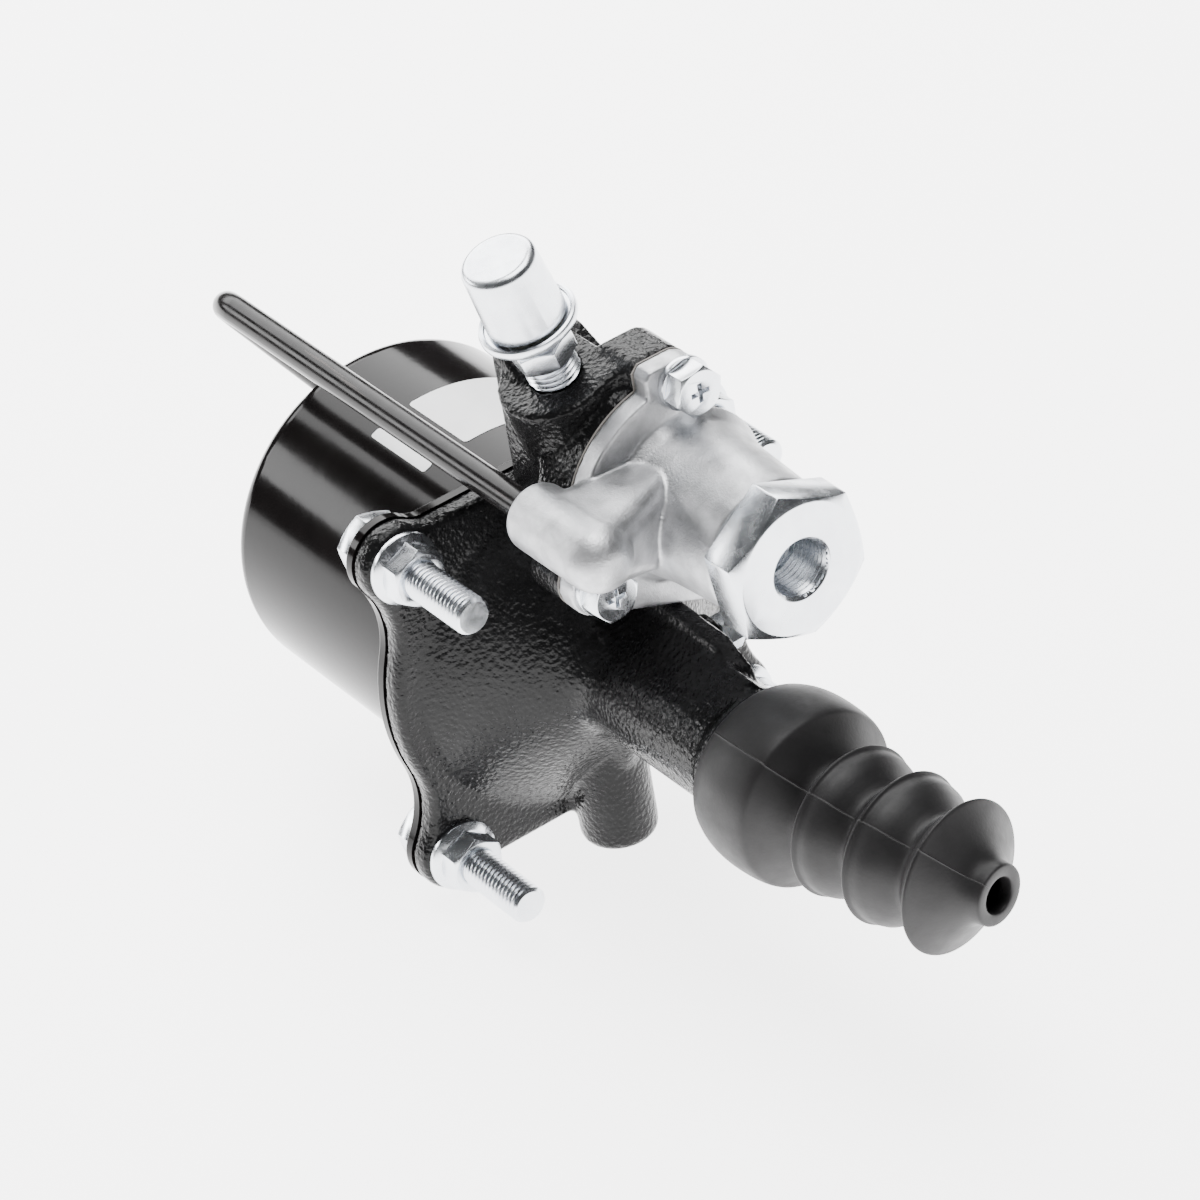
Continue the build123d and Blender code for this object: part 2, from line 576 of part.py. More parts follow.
def cover():
    """The aluminium cover: flange, bell, neck, pipe boss, bores and seat."""
    body = slab(COVER_REAR_X, COVER_FACE_X, cover_outline())
    bell = turned([(COVER_REAR_X, 0), (COVER_REAR_X, COVER_BELL_R), (COVER_FACE_X, COVER_BELL_R + 2),
                   (COVER_FACE_X + 3, COVER_BELL_R), (COVER_FACE_X + 12, COVER_NECK_R + 1),
                   (COVER_FRONT_X, COVER_NECK_R - 0.4), (COVER_FRONT_X, 0)], VALVE_Y, VALVE_Z)
    boss = rod(PIPE_BOSS_REAR_X, PIPE_BOSS_FRONT_X, PIPE_BOSS_R, PIPE_Y, PIPE_Z)
    boss = fillet(boss.faces().sort_by(Axis.X)[0].edges(), 2.5)
    boss = fillet(boss.faces().sort_by(Axis.X)[-1].edges(), PIPE_BOSS_R - 0.8)
    arm = pipe_arm()
    body += bell + arm + (boss - slab(PIPE_BOSS_REAR_X - 1, COVER_REAR_X, offset(cover_outline(), 0.4)))
    neck = COVER_FRONT_X - PLUG_SHANK - 1
    body -= rod(neck, COVER_FRONT_X + 1, COVER_BORE_R + THREAD_PLAY, VALVE_Y, VALVE_Z)
    body -= rod(COVER_REAR_X - 1, SEAT_X - SEAT_WALL, DELIVERY_BORE_R, VALVE_Y, VALVE_Z)
    body -= rod(SEAT_X - SEAT_WALL - 1, SEAT_X + 1, SEAT_R, VALVE_Y, VALVE_Z)
    body -= rod(SEAT_X, neck + 1, POPPET_R + 2, VALVE_Y, VALVE_Z)
    for y, z in SCREW_PLACES:
        body -= rod(COVER_REAR_X - 1, COVER_FACE_X + 20, SCREW_HOLE_R, y, z)
        body -= rod(COVER_FACE_X, COVER_FACE_X + 20, WASHER_R + 0.6, y, z)
    body -= rod(PIPE_BOSS_REAR_X - 1, PIPE_FRONT_X + 1, PIPE_R + FIT_GAP, PIPE_Y, PIPE_Z)
    groove_x = PIPE_BOSS_REAR_X + 3
    body -= rod(groove_x, groove_x + PIPE_SEAL_LENGTH, PIPE_R + 2, PIPE_Y, PIPE_Z)
    duct_end = Vector(PIPE_FRONT_X, VALVE_Y - DELIVERY_BORE_R + 2, VALVE_Z)
    body -= drilled(Vector(PIPE_FRONT_X, PIPE_Y, PIPE_Z), duct_end, PIPE_DUCT_R)
    return body


def pipe_arm():
    """The wedge that joins the pipe's boss to the bell, lofted along the duct inside it."""
    boss = Vector(0, PIPE_Y, PIPE_Z)
    along = (Vector(0, VALVE_Y, VALVE_Z) - boss).normalized()
    sections = []
    for way, front, half_height, edge_r in (
            (0, PIPE_BOSS_FRONT_X - 1, PIPE_BOSS_R - 0.4, PIPE_BOSS_R - 1),
            (PIPE_ARM_REACH, PIPE_ARM_FRONT_X, PIPE_ARM_HALF_HEIGHT, PIPE_ARM_EDGE_R)):
        origin = boss + along * way + Vector((COVER_REAR_X + front) / 2, 0, 0)
        plane = Plane(origin=origin, x_dir=(1, 0, 0), z_dir=along)
        sections.append(plane * RectangleRounded(front - COVER_REAR_X, 2 * half_height, edge_r))
    return loft(sections, ruled=True)


def gasket():
    sheet = slab(VALVE_JOINT_X, COVER_REAR_X, cover_outline())
    sheet -= rod(VALVE_JOINT_X - 1, COVER_REAR_X + 1, VALVE_BORE_R, VALVE_Y, VALVE_Z)
    for y, z in SCREW_PLACES:
        sheet -= rod(VALVE_JOINT_X - 1, COVER_REAR_X + 1, SCREW_HOLE_R, y, z)
    return sheet


def inlet_plug():
    """The hexagon plug with the threaded air inlet and the pocket for the poppet's spring."""
    front = COVER_FRONT_X + PLUG_SEAL_THICKNESS + PLUG_HEX
    seat = COVER_FRONT_X + PLUG_SEAL_THICKNESS
    body = chamfered_hexagon(seat, front, PLUG_FLATS, VALVE_Y, VALVE_Z, PLUG_TURN)
    body += rod(COVER_FRONT_X - PLUG_SHANK, seat, COVER_BORE_R, VALVE_Y, VALVE_Z)
    body -= rod(0, front + 1, 4.0, VALVE_Y, VALVE_Z)
    body -= turned([(front - PLUG_THREAD_LENGTH, 0), (front - PLUG_THREAD_LENGTH, PLUG_HOLE_R),
                    (front - PLUG_CHAMFER, PLUG_HOLE_R), (front + 0.01, PLUG_HOLE_R + PLUG_CHAMFER + 0.01),
                    (front + 0.01, 0)], VALVE_Y, VALVE_Z)
    body -= rod(0, front - PLUG_THREAD_LENGTH - PLUG_POCKET_WALL, PLUG_POCKET_R, VALVE_Y, VALVE_Z)
    return body


def plug_seal():
    return turned([(COVER_FRONT_X, COVER_BORE_R + 0.1), (COVER_FRONT_X, COVER_NECK_R - 1),
                   (COVER_FRONT_X + PLUG_SEAL_THICKNESS, COVER_NECK_R - 1),
                   (COVER_FRONT_X + PLUG_SEAL_THICKNESS, COVER_BORE_R + 0.1)], VALVE_Y, VALVE_Z)


def pipe_route():
    """The pipe's centre line: along the shell, down behind it and forward into the port."""
    return FilletPolyline(
        (PIPE_FRONT_X, PIPE_Y, PIPE_Z),
        (PIPE_BEND_X, PIPE_Y, PIPE_Z),
        (PIPE_BEND_X, PIPE_PORT_Y, PIPE_PORT_Z),
        (SHELL_REAR_X - 0.5, PIPE_PORT_Y, PIPE_PORT_Z),
        radius=[PIPE_BEND_R, PIPE_RETURN_R],
    )


def air_pipe():
    route = pipe_route()
    start = Plane(origin=route @ 0, z_dir=route % 0)
    outer = sweep(start * Circle(PIPE_R), path=route)
    inner = sweep(start * Circle(PIPE_R - PIPE_WALL), path=route)
    return outer - inner


def pipe_seal():
    x0 = PIPE_BOSS_REAR_X + 3.1
    ring = rod(x0, x0 + PIPE_SEAL_LENGTH - 0.2, PIPE_R + 1.95, PIPE_Y, PIPE_Z)
    return ring - rod(x0 - 1, x0 + PIPE_SEAL_LENGTH, PIPE_R + FIT_GAP, PIPE_Y, PIPE_Z)


def pipe_nut():
    """The nut that holds the pipe's end in the shell's rear boss."""
    front = SHELL_REAR_X - SHELL_BOSS_HEIGHT
    nut = chamfered_hexagon(front - PIPE_NUT_HEIGHT, front, PIPE_NUT_FLATS, PIPE_PORT_Y, PIPE_PORT_Z)
    return nut - rod(front - 20, front + 1, PIPE_R + FIT_GAP, PIPE_PORT_Y, PIPE_PORT_Z)


def breather_body():
    """Threaded stem, hexagon, neck and the collar that carries the cap."""
    stem = Pos(0, 0, (BREATHER_NECK - BREATHER_BITE) / 2) * Cylinder(BREATHER_STEM_R, BREATHER_NECK + BREATHER_BITE)
    corner = BREATHER_FLATS / (2 * cos(radians(30)))
    hexa = Pos(0, 0, BREATHER_NECK) * extrude(RegularPolygon(corner, 6), BREATHER_HEX)
    neck_z = BREATHER_NECK + BREATHER_HEX
    neck = Pos(0, 0, (neck_z + BREATHER_COLLAR_Z) / 2) * Cylinder(BREATHER_STEM_R - 0.6, BREATHER_COLLAR_Z - neck_z)
    collar = Pos(0, 0, BREATHER_COLLAR_Z + BREATHER_COLLAR / 2) * Cylinder(BREATHER_COLLAR_R, BREATHER_COLLAR)
    collar = fillet(collar.edges(), 0.8)
    body = stem + hexa + neck + collar
    body -= Pos(0, 0, 5) * Cylinder(BREATHER_BORE_R, 60)
    return breather_plane() * body


def breather_cap():
    base = BREATHER_COLLAR_Z + BREATHER_COLLAR
    cap = Pos(0, 0, base + CAP_HEIGHT / 2) * Cone(CAP_R, CAP_TOP_R, CAP_HEIGHT)
    cap = fillet(cap.faces().sort_by(Axis.Z)[-1].edges(), CAP_EDGE_R)
    cap -= Pos(0, 0, base + (CAP_HEIGHT - CAP_WALL) / 2) * Cone(
        CAP_R - CAP_WALL, CAP_TOP_R - CAP_WALL, CAP_HEIGHT - CAP_WALL)
    return breather_plane() * cap


def breather_filter():
    base = BREATHER_COLLAR_Z + BREATHER_COLLAR
    height = CAP_HEIGHT - CAP_WALL - 0.3
    felt = Pos(0, 0, base + height / 2) * (Cylinder(CAP_TOP_R - CAP_WALL - 0.1, height) - Cylinder(BREATHER_BORE_R, height))
    return breather_plane() * felt


def flange_bolts():
    bolts = []
    for y, z in BOLT_PLACES:
        head = chamfered_hexagon(PLATE_REAR_X - BOLT_HEAD_HEIGHT, PLATE_REAR_X, BOLT_HEAD_FLATS, y, z, BOLT_HEAD_TURN)
        shank = rod(PLATE_REAR_X - 1, NUT_HEIGHT, BOLT_SHANK_R, y, z)
        thread = rod(NUT_HEIGHT, BOLT_TIP_X, BOLT_R, y, z)
        thread = chamfer(thread.faces().sort_by(Axis.X)[-1].edges(), BOLT_TIP_CHAMFER)
        bolts.append(head + shank + thread)
    return Compound(children=bolts)


def flange_nuts():
    nuts = []
    for y, z in BOLT_PLACES:
        nut = chamfered_hexagon(0.0, NUT_HEIGHT, NUT_FLATS, y, z, NUT_TURN)
        nut += turned([(0, 0), (0, NUT_FLANGE_R), (NUT_RIM, NUT_FLANGE_R), (NUT_CONE, NUT_FLATS / 2 + 0.6),
                       (NUT_CONE, 0)], y, z)
        nut -= rod(-1, NUT_HEIGHT + 1, BOLT_SHANK_R + THREAD_PLAY, y, z)
        nuts.append(nut)
    return Compound(children=nuts)


def cover_screws():
    screws = []
    seat = COVER_FACE_X + WASHER_THICKNESS
    for y, z in SCREW_PLACES:
        screw = chamfered_hexagon(seat, seat + SCREW_HEAD, SCREW_FLATS, y, z, 10)
        screw += rod(COVER_REAR_X - SCREW_BITE, seat + 1, SCREW_R, y, z)
        for turn in (0, 90):
            slot = Pos(seat + SCREW_HEAD, y, z) * Rot(turn, 0, 0) * Box(3.4, 5.2, 1.2)
            screw -= slot
        screws.append(screw)
    return Compound(children=screws)


def cover_washers():
    washers = []
    for y, z in SCREW_PLACES:
        ring = rod(COVER_FACE_X, COVER_FACE_X + WASHER_THICKNESS, WASHER_R, y, z)
        washers.append(ring - rod(COVER_FACE_X - 1, COVER_FACE_X + 5, SCREW_R + 0.2, y, z))
    return Compound(children=washers)


def boot_station(s):
    """The point and the plane of the boot's bent centre line at an arc length from its rear face."""
    angle = s / BOOT_BEND_R
    origin = (NOSE_SHOULDER_X + BOOT_BEND_R * sin(angle), BOOT_BEND_R * (1 - cos(angle)), 0)
    return Plane(origin=origin, x_dir=(0, 0, 1), z_dir=(cos(angle), sin(angle), 0))


def boot_outer():
    """Arc lengths and radii of the boot's outside."""
    stations = [(0, BOOT_REAR_R - 0.6), (1.0, BOOT_REAR_R), (4.0, BOOT_BULGE_R - 0.6), (9.0, BOOT_BULGE_R),
                (14.5, BOOT_BULGE_R),
                (BOOT_BAND_LENGTH - BOOT_EDGE, BOOT_BAND_R), (BOOT_BAND_LENGTH, BOOT_BAND_R - 0.5)]
    before = BOOT_BAND_LENGTH
    for crest in BOOT_CRESTS:
        valley = before + 0.62 * (crest - before)
        stations += [(valley - BOOT_EDGE, BOOT_VALLEY_R), (valley + BOOT_EDGE, BOOT_VALLEY_R),
                     (crest - BOOT_EDGE, BOOT_CREST_R - 0.7), (crest, BOOT_CREST_R),
                     (crest + BOOT_EDGE, BOOT_CREST_R - 0.5)]
        before = crest
    stations += [(BOOT_TIP_S - BOOT_TIP_LENGTH, BOOT_TIP_R + 0.1), (BOOT_TIP_S, BOOT_TIP_R)]
    return stations


def boot_skin(stations):
    faces = [boot_station(s) * Circle(r) for s, r in stations]
    return loft(faces, ruled=True)


def boot():
    outer = boot_skin(boot_outer())
    inner = [(-0.5, NOSE_R + FIT_GAP), (4.0, NOSE_R + FIT_GAP), (5.0, BOOT_BAND_R - BOOT_WALL)]
    inner += [(s + (0.5 if r < BOOT_VALLEY_R + 1 else 0), r - BOOT_WALL) for s, r in boot_outer()[3:-2] if s > 5]
    inner += [(BOOT_TIP_S - BOOT_TIP_LENGTH - 2, BOOT_HOLE_R + 1.5)]
    body = outer - boot_skin(inner)
    return body - boot_station(BOOT_TIP_S) * Cylinder(BOOT_HOLE_R, 12)


def rod_guide():
    bush = rod(GUIDE_REAR_X, GUIDE_REAR_X + GUIDE_LENGTH, GUIDE_R)
    return bush - rod(0, 50, ROD_R + ROD_PLAY)


def rod_seal():
    x0 = GUIDE_REAR_X + GUIDE_LENGTH + 0.1
    ring = rod(x0, x0 + ROD_SEAL_LENGTH - 0.3, GUIDE_R)
    return ring - rod(0, 50, ROD_R + ROD_PLAY)


def seal_retainer():
    ring = rod(GUIDE_REAR_X - RETAINER_THICKNESS, GUIDE_REAR_X, GUIDE_R)
    return ring - rod(0, 50, ROD_R + 1.2)


def power_piston():
    """The dished steel plate that the air pushes."""
    dish = PISTON_REAR_X + CLAMP_DISC
    outer_r = AIR_BORE_R - CUP_WALL - CUP_WALL_GAP - 0.6
    plate = turned([(dish, ROD_R + ROD_PLAY), (dish, outer_r), (dish + PISTON_PLATE, outer_r),
                    (dish + PISTON_PLATE, PISTON_DISH_R + 2), (dish + PISTON_DISH_DEPTH, PISTON_DISH_R),
                    (dish + PISTON_DISH_DEPTH, ROD_R + ROD_PLAY)])
    return plate


def piston_cup():
    """The cup seal that wipes the shell's bore, held by its web under the clamp disc."""
    x0 = PISTON_REAR_X
    outer_r = AIR_BORE_R - CUP_WALL_GAP
    return turned([
        (x0, CLAMP_DISC_R + FIT_GAP),
        (x0, outer_r - 1),
        (x0 + 1, outer_r),
        (x0 + CUP_LIP_LENGTH, outer_r),
        (x0 + CUP_LIP_LENGTH, outer_r - CUP_WALL),
        (x0 + CLAMP_DISC, outer_r - CUP_WALL),
        (x0 + CLAMP_DISC, CLAMP_DISC_R + FIT_GAP),
    ])


def clamp_disc():
    front = PISTON_REAR_X + CLAMP_DISC
    disc = rod(PISTON_REAR_X, front, CLAMP_DISC_R)
    return disc - rod(PISTON_REAR_X - 1, front + 1, ROD_R + ROD_PLAY)


def rod_nut():
    rear = PISTON_REAR_X + CLAMP_DISC + PISTON_DISH_DEPTH
    front = rear + ROD_NUT_HEIGHT
    nut = chamfered_hexagon(rear, front, ROD_NUT_FLATS, 0, 0)
    return nut - rod(rear - 1, front + 1, ROD_R + THREAD_PLAY)


def piston_rod():
    head = rod(PISTON_REAR_X - ROD_HEAD, PISTON_REAR_X, ROD_HEAD_R)
    return head + rod(PISTON_REAR_X - 1, SLAVE_PISTON_REAR_X, ROD_R)


def return_spring():
    rear = PISTON_REAR_X + CLAMP_DISC + PISTON_PLATE
    return coil(rear, SPRING_SEAT_X, SPRING_R, SPRING_WIRE_R, SPRING_TURNS, 0, 0)


def slave_piston():
    x1 = SLAVE_PISTON_REAR_X + SLAVE_PISTON_LENGTH
    body = rod(SLAVE_PISTON_REAR_X, x1, SLAVE_BORE_R - 0.05)
    groove_x = SLAVE_PISTON_REAR_X + 3
    ring = rod(groove_x, groove_x + SLAVE_CUP_LENGTH, SLAVE_BORE_R + 1) - rod(0, 90, SLAVE_BORE_R - 3)
    body -= ring
    body -= rod(x1 - 14, x1 + 1, SLAVE_SOCKET_R)
    body -= Pos(x1 - 14, 0, 0) * Sphere(SLAVE_SOCKET_R)
    return body


def slave_cup():
    x0 = SLAVE_PISTON_REAR_X + 3.1
    return rod(x0, x0 + SLAVE_CUP_LENGTH - 0.2, SLAVE_BORE_R - 0.03) - rod(0, 90, SLAVE_BORE_R - 2.95)


def relay_piston():
    x0 = RELAY_REAR_X
    body = rod(x0, x0 + RELAY_LENGTH, RELAY_BORE_R - 0.05, VALVE_Y, VALVE_Z)
    ring = rod(x0 + 2, x0 + 4.5, RELAY_BORE_R + 1, VALVE_Y, VALVE_Z)
    body -= ring - rod(0, 60, RELAY_BORE_R - 2, VALVE_Y, VALVE_Z)
    return body + rod(x0 + 1, VALVE_DISC_X, 4, VALVE_Y, VALVE_Z)


def relay_cup():
    x0 = RELAY_REAR_X + 2.1
    ring = rod(x0, x0 + 2.3, RELAY_BORE_R - 0.03, VALVE_Y, VALVE_Z)
    return ring - rod(0, 60, RELAY_BORE_R - 1.95, VALVE_Y, VALVE_Z)


def valve_piston():
    """The air piston with its hollow stem."""
    x0 = VALVE_DISC_X
    body = rod(x0, x0 + VALVE_DISC, VALVE_BORE_R - 0.05, VALVE_Y, VALVE_Z)
    ring = rod(x0 + 1.2, x0 + 3.8, VALVE_BORE_R + 1, VALVE_Y, VALVE_Z)
    body -= ring - rod(0, 60, VALVE_BORE_R - 2.2, VALVE_Y, VALVE_Z)
    body += rod(x0 + 1, STEM_FRONT_X, STEM_R, VALVE_Y, VALVE_Z)
    body -= rod(x0 + 2, STEM_FRONT_X + 1, STEM_BORE_R, VALVE_Y, VALVE_Z)
    return body


def valve_seal():
    x0 = VALVE_DISC_X + 1.3
    ring = rod(x0, x0 + 2.4, VALVE_BORE_R - 0.03, VALVE_Y, VALVE_Z)
    return ring - rod(0, 60, VALVE_BORE_R - 2.15, VALVE_Y, VALVE_Z)


def valve_spring():
    rear = VALVE_DISC_X + VALVE_DISC
    return coil(rear, SEAT_X - SEAT_WALL, VALVE_SPRING_R, VALVE_WIRE_R, 3, VALVE_Y, VALVE_Z)


def poppet():
    x0 = SEAT_X + POPPET_SEAT_GAP
    return rod(x0, x0 + 3, POPPET_R, VALVE_Y, VALVE_Z) + rod(x0 + 2, x0 + POPPET_LENGTH, 4, VALVE_Y, VALVE_Z)


def poppet_spring():
    rear = SEAT_X + POPPET_SEAT_GAP + 3
    front = COVER_FRONT_X + PLUG_SEAL_THICKNESS + PLUG_HEX - PLUG_THREAD_LENGTH - PLUG_POCKET_WALL
    return coil(rear, front, POPPET_SPRING_R, POPPET_WIRE_R, 4, VALVE_Y, VALVE_Z)


def stop_ring():
    """The ring near the nose's mouth that keeps the slave piston in."""
    return hoop(NOSE_FRONT_X - 3, SLAVE_BORE_R + 0.2, STOP_RING_WIRE_R)


def bleeder():
    y0 = BLEEDER_BOSS_Y - 9
    place = Pos(BLEEDER_X, 0, 0) * Rot(-90, 0, 0)
    corner = BLEEDER_FLATS / (2 * cos(radians(30)))
    screw = Pos(0, 0, y0 + 5) * Cylinder(BLEEDER_R, 10)
    screw += Pos(0, 0, BLEEDER_BOSS_Y + 1) * extrude(RegularPolygon(corner, 6), BLEEDER_HEX)
    top = BLEEDER_BOSS_Y + 1 + BLEEDER_HEX
    screw += Pos(0, 0, top + BLEEDER_NIPPLE / 2) * Cylinder(BLEEDER_NIPPLE_R, BLEEDER_NIPPLE)
    screw -= Pos(0, 0, top) * Cylinder(1.0, 40)
    return place * screw


def bleeder_cap():
    top = BLEEDER_BOSS_Y + 1 + BLEEDER_HEX
    place = Pos(BLEEDER_X, 0, 0) * Rot(-90, 0, 0)
    outer = Pos(0, 0, top + (BLEEDER_NIPPLE + 2) / 2) * Cylinder(BLEEDER_NIPPLE_R + BLEEDER_CAP_WALL, BLEEDER_NIPPLE + 2)
    outer = fillet(outer.faces().sort_by(Axis.Z)[-1].edges(), 1.0)
    return place * (outer - Pos(0, 0, top + BLEEDER_NIPPLE / 2) * Cylinder(BLEEDER_NIPPLE_R + FIT_GAP, BLEEDER_NIPPLE))


NODES = {
    "air_cylinder_shell": shell,
    "shell_seal_ring": shell_seal,
    "cast_housing": cast_body,
    "valve_cover": cover,
    "cover_gasket": gasket,
    "inlet_plug": inlet_plug,
    "plug_seal": plug_seal,
    "air_pipe": air_pipe,
    "pipe_seal": pipe_seal,
    "pipe_nut": pipe_nut,
    "breather_body": breather_body,
    "breather_cap": breather_cap,
    "breather_filter": breather_filter,
    "flange_bolts": flange_bolts,
    "flange_nuts": flange_nuts,
    "cover_screws": cover_screws,
    "cover_washers": cover_washers,
    "boot": boot,
    "rod_guide": rod_guide,
    "rod_seal": rod_seal,
    "seal_retainer": seal_retainer,
    "power_piston": power_piston,
    "piston_cup": piston_cup,
    "clamp_disc": clamp_disc,
    "rod_nut": rod_nut,
    "piston_rod": piston_rod,
    "return_spring": return_spring,
    "slave_piston": slave_piston,
    "slave_cup": slave_cup,
    "stop_ring": stop_ring,
    "relay_piston": relay_piston,
    "relay_cup": relay_cup,
    "valve_piston": valve_piston,
    "valve_seal": valve_seal,
    "valve_spring": valve_spring,
    "poppet": poppet,
    "poppet_spring": poppet_spring,
    "bleeder_screw": bleeder,
    "bleeder_cap": bleeder_cap,
}

os.makedirs("parts", exist_ok=True)
for name, make in NODES.items():
    solids = [Pos(-NUT_HEIGHT, 0, 0) * solid for solid in make().solids()]
    export_step(solids[0] if len(solids) == 1 else Compound(children=solids), f"parts/{name}.step")
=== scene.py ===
"""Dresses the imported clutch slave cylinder: castings, boot, threads, labels, finishes and the studio."""

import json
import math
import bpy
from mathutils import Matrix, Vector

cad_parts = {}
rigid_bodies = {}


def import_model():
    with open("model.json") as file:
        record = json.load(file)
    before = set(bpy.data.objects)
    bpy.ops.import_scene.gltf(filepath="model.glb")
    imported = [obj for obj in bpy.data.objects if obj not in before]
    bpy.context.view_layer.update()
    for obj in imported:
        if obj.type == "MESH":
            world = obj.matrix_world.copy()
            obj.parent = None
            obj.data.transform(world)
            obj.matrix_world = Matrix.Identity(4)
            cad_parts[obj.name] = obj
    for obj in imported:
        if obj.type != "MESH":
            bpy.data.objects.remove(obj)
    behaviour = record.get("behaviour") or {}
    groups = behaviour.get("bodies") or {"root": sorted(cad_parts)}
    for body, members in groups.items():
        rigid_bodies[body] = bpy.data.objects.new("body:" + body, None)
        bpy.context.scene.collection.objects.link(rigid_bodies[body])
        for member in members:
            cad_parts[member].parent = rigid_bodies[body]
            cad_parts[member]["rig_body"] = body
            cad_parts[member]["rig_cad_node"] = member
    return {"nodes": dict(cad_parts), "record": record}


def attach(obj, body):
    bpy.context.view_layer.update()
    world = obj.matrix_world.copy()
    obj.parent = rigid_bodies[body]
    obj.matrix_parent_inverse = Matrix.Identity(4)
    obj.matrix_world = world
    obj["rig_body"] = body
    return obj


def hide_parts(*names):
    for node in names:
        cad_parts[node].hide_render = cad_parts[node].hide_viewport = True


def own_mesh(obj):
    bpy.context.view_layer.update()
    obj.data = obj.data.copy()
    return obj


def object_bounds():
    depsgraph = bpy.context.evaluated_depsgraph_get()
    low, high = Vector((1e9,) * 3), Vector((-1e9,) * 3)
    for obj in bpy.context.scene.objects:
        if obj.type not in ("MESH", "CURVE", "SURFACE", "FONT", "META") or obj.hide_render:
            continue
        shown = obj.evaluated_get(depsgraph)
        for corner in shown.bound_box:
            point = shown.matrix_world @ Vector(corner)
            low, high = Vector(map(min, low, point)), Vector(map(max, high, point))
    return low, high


bl_info = {
    "name": "Clutch slave cylinder dressing",
    "version": (1, 0, 0),
    "blender": (4, 5, 0),
    "location": "View3D > Sidebar > Clutch cylinder",
    "description": "Models and paints the visible pieces of an air-assisted clutch slave cylinder",
    "category": "Object",
}

import bmesh
import bpy
from mathutils import Matrix, Vector

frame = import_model()
CAD_BOX = [list(corner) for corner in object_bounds()]
MM = 0.001
BODY = "housing"
# Distances in metres under which points count as one, and as lying on a cut
DOUBLES = 2e-6
CUT_TOLERANCE = 1e-7

# Sizes in millimetres, places from the front faces of the flange nuts, angles in degrees.

# Flange bolts: half the side of their square, tip, face under the head, head, shank and thread
BOLT_PITCH = 44.4
BOLT_TIP = 22.4
BOLT_TIP_R = 4.1
BOLT_TIP_CHAMFER = 1.1
BOLT_UNDER_HEAD = -17.6
BOLT_HEAD = 6.4
BOLT_HEAD_TURN = 41.5
BOLT_FLATS = 16.0
BOLT_SHANK_R = 4.75
BOLT_THREAD_DEPTH = 0.86
# How far the shank reaches into the head and the thread
BOLT_LAP = 0.4
THREAD_START = 0.1
# One turn of a thread: (share of the pitch, share of the depth)
THREAD_PROFILE = ((0.0, 0), (0.10, 0), (0.44, 1), (0.56, 1), (0.90, 0), (1.0, 0))

# Hexagons: radius of the flat front as a share of half the flats, and the rounding of the edges
HEX_CROWN = 0.95
HEX_EDGE = 0.22
# CAD nodes whose sharp edges are rounded, with the width of the rounding
ROUNDED = (("flange_nuts", 0.25), ("cover_screws", 0.2), ("cover_washers", 0.2), ("pipe_nut", 0.25))
SHARP_ANGLE = 28
FLAT_ANGLE = 1.5

# Valve axis (y, z), the inlet plug on it and the breather beside it
VALVE = (13.8, 54.6)
PLUG_FRONT = 77.8
PLUG_HOLE_R = 7.3
PLUG_EDGE = 0.35
PLUG_THREAD = 14.0
PLUG_THREAD_DEPTH = 0.85
PLUG_RUNOUT = 0.6
PLUG_CREST_LAP = 0.05
BREATHER_SEAT = (7.9, -2.2, 87.0)
BREATHER_TILT = 15.4
BREATHER_STEM_R = 6.7
BREATHER_THREAD_END = 6.2
BREATHER_THREAD_DEPTH = 0.7
BREATHER_PITCH = 1.5
BREATHER_ROOT = ((-8.8, 0), (-8.8, 6.2), (0.3, 6.2), (0.3, 0))
BREATHER_HEX = (6.1, 12.4)
BREATHER_FLATS = 14.6
BREATHER_HEX_TURN = 21.0
BREATHER_NECK = (
    (12.2, 0), (12.2, 6.4), (13.0, 5.7), (16.2, 5.7), (16.6, 8.0), (16.6, 11.7), (16.9, 12.3), (17.5, 12.5),
    (18.4, 12.5), (19.0, 12.2), (19.2, 11.6), (18.9, 11.1), (18.4, 10.9), (18.4, 3.2), (12.2, 3.2))

# Boot: where it starts, how far its seat reaches in, the radius that it hangs in, its crests and mould line
NOSE_SHOULDER = 70.0
BOOT_SEAT_END = 6.5
BOOT_BEND_R = 407.0
CRESTS = (32.5, 49.0, 67.4)
SEAM_HALF_WIDTH = 0.22
SEAM_RISE = 0.16

# The web round the drilled fluid passage: its ends and its radius
PASSAGE_RIB = ((-1.15, 0, -41.0), (12.0, 0, -13.4))
PASSAGE_RIB_R = 4.2

# Springs: node, joint, place of the fixed end, travel
SPRINGS = (("return_spring", "power_piston_slide", -5.0, 35.0), ("valve_spring", "relay_slide", 41.5, 3.0),
           ("poppet_spring", "relay_slide", 61.8, 1.8))

# Labels: name, rear and front end, the angles they span round the shell, corner radius
LABELS = (("label_large", -63.9, -38.3, 95.4, 52.0, 1.2), ("label_strip", -63.3, -39.4, 111.4, 107.4, 0.9))
LABEL_STRIPS = 16
LABEL_GAP = 0.02
LABEL_FILM = 0.12
SHELL_R = 46.5

# Metals: slot, name, lowest and highest roughness, grain
METALS = (
    ("zinc_steel", "Zinc plating", 0.20, 0.30, 1500.0),
    ("zinc_sheet", "Zinc sheet", 0.22, 0.32, 1200.0),
    ("aluminium_washer", "Soft washer", 0.35, 0.5, 900.0),
    ("machined_aluminium", "Turned aluminium", 0.25, 0.35, 900.0),
    ("steel", "Machined steel", 0.3, 0.42, 900.0),
    ("spring_steel", "Spring wire", 0.35, 0.5, 900.0),
    ("bronze", "Sintered bronze", 0.4, 0.55, 2200.0),
)
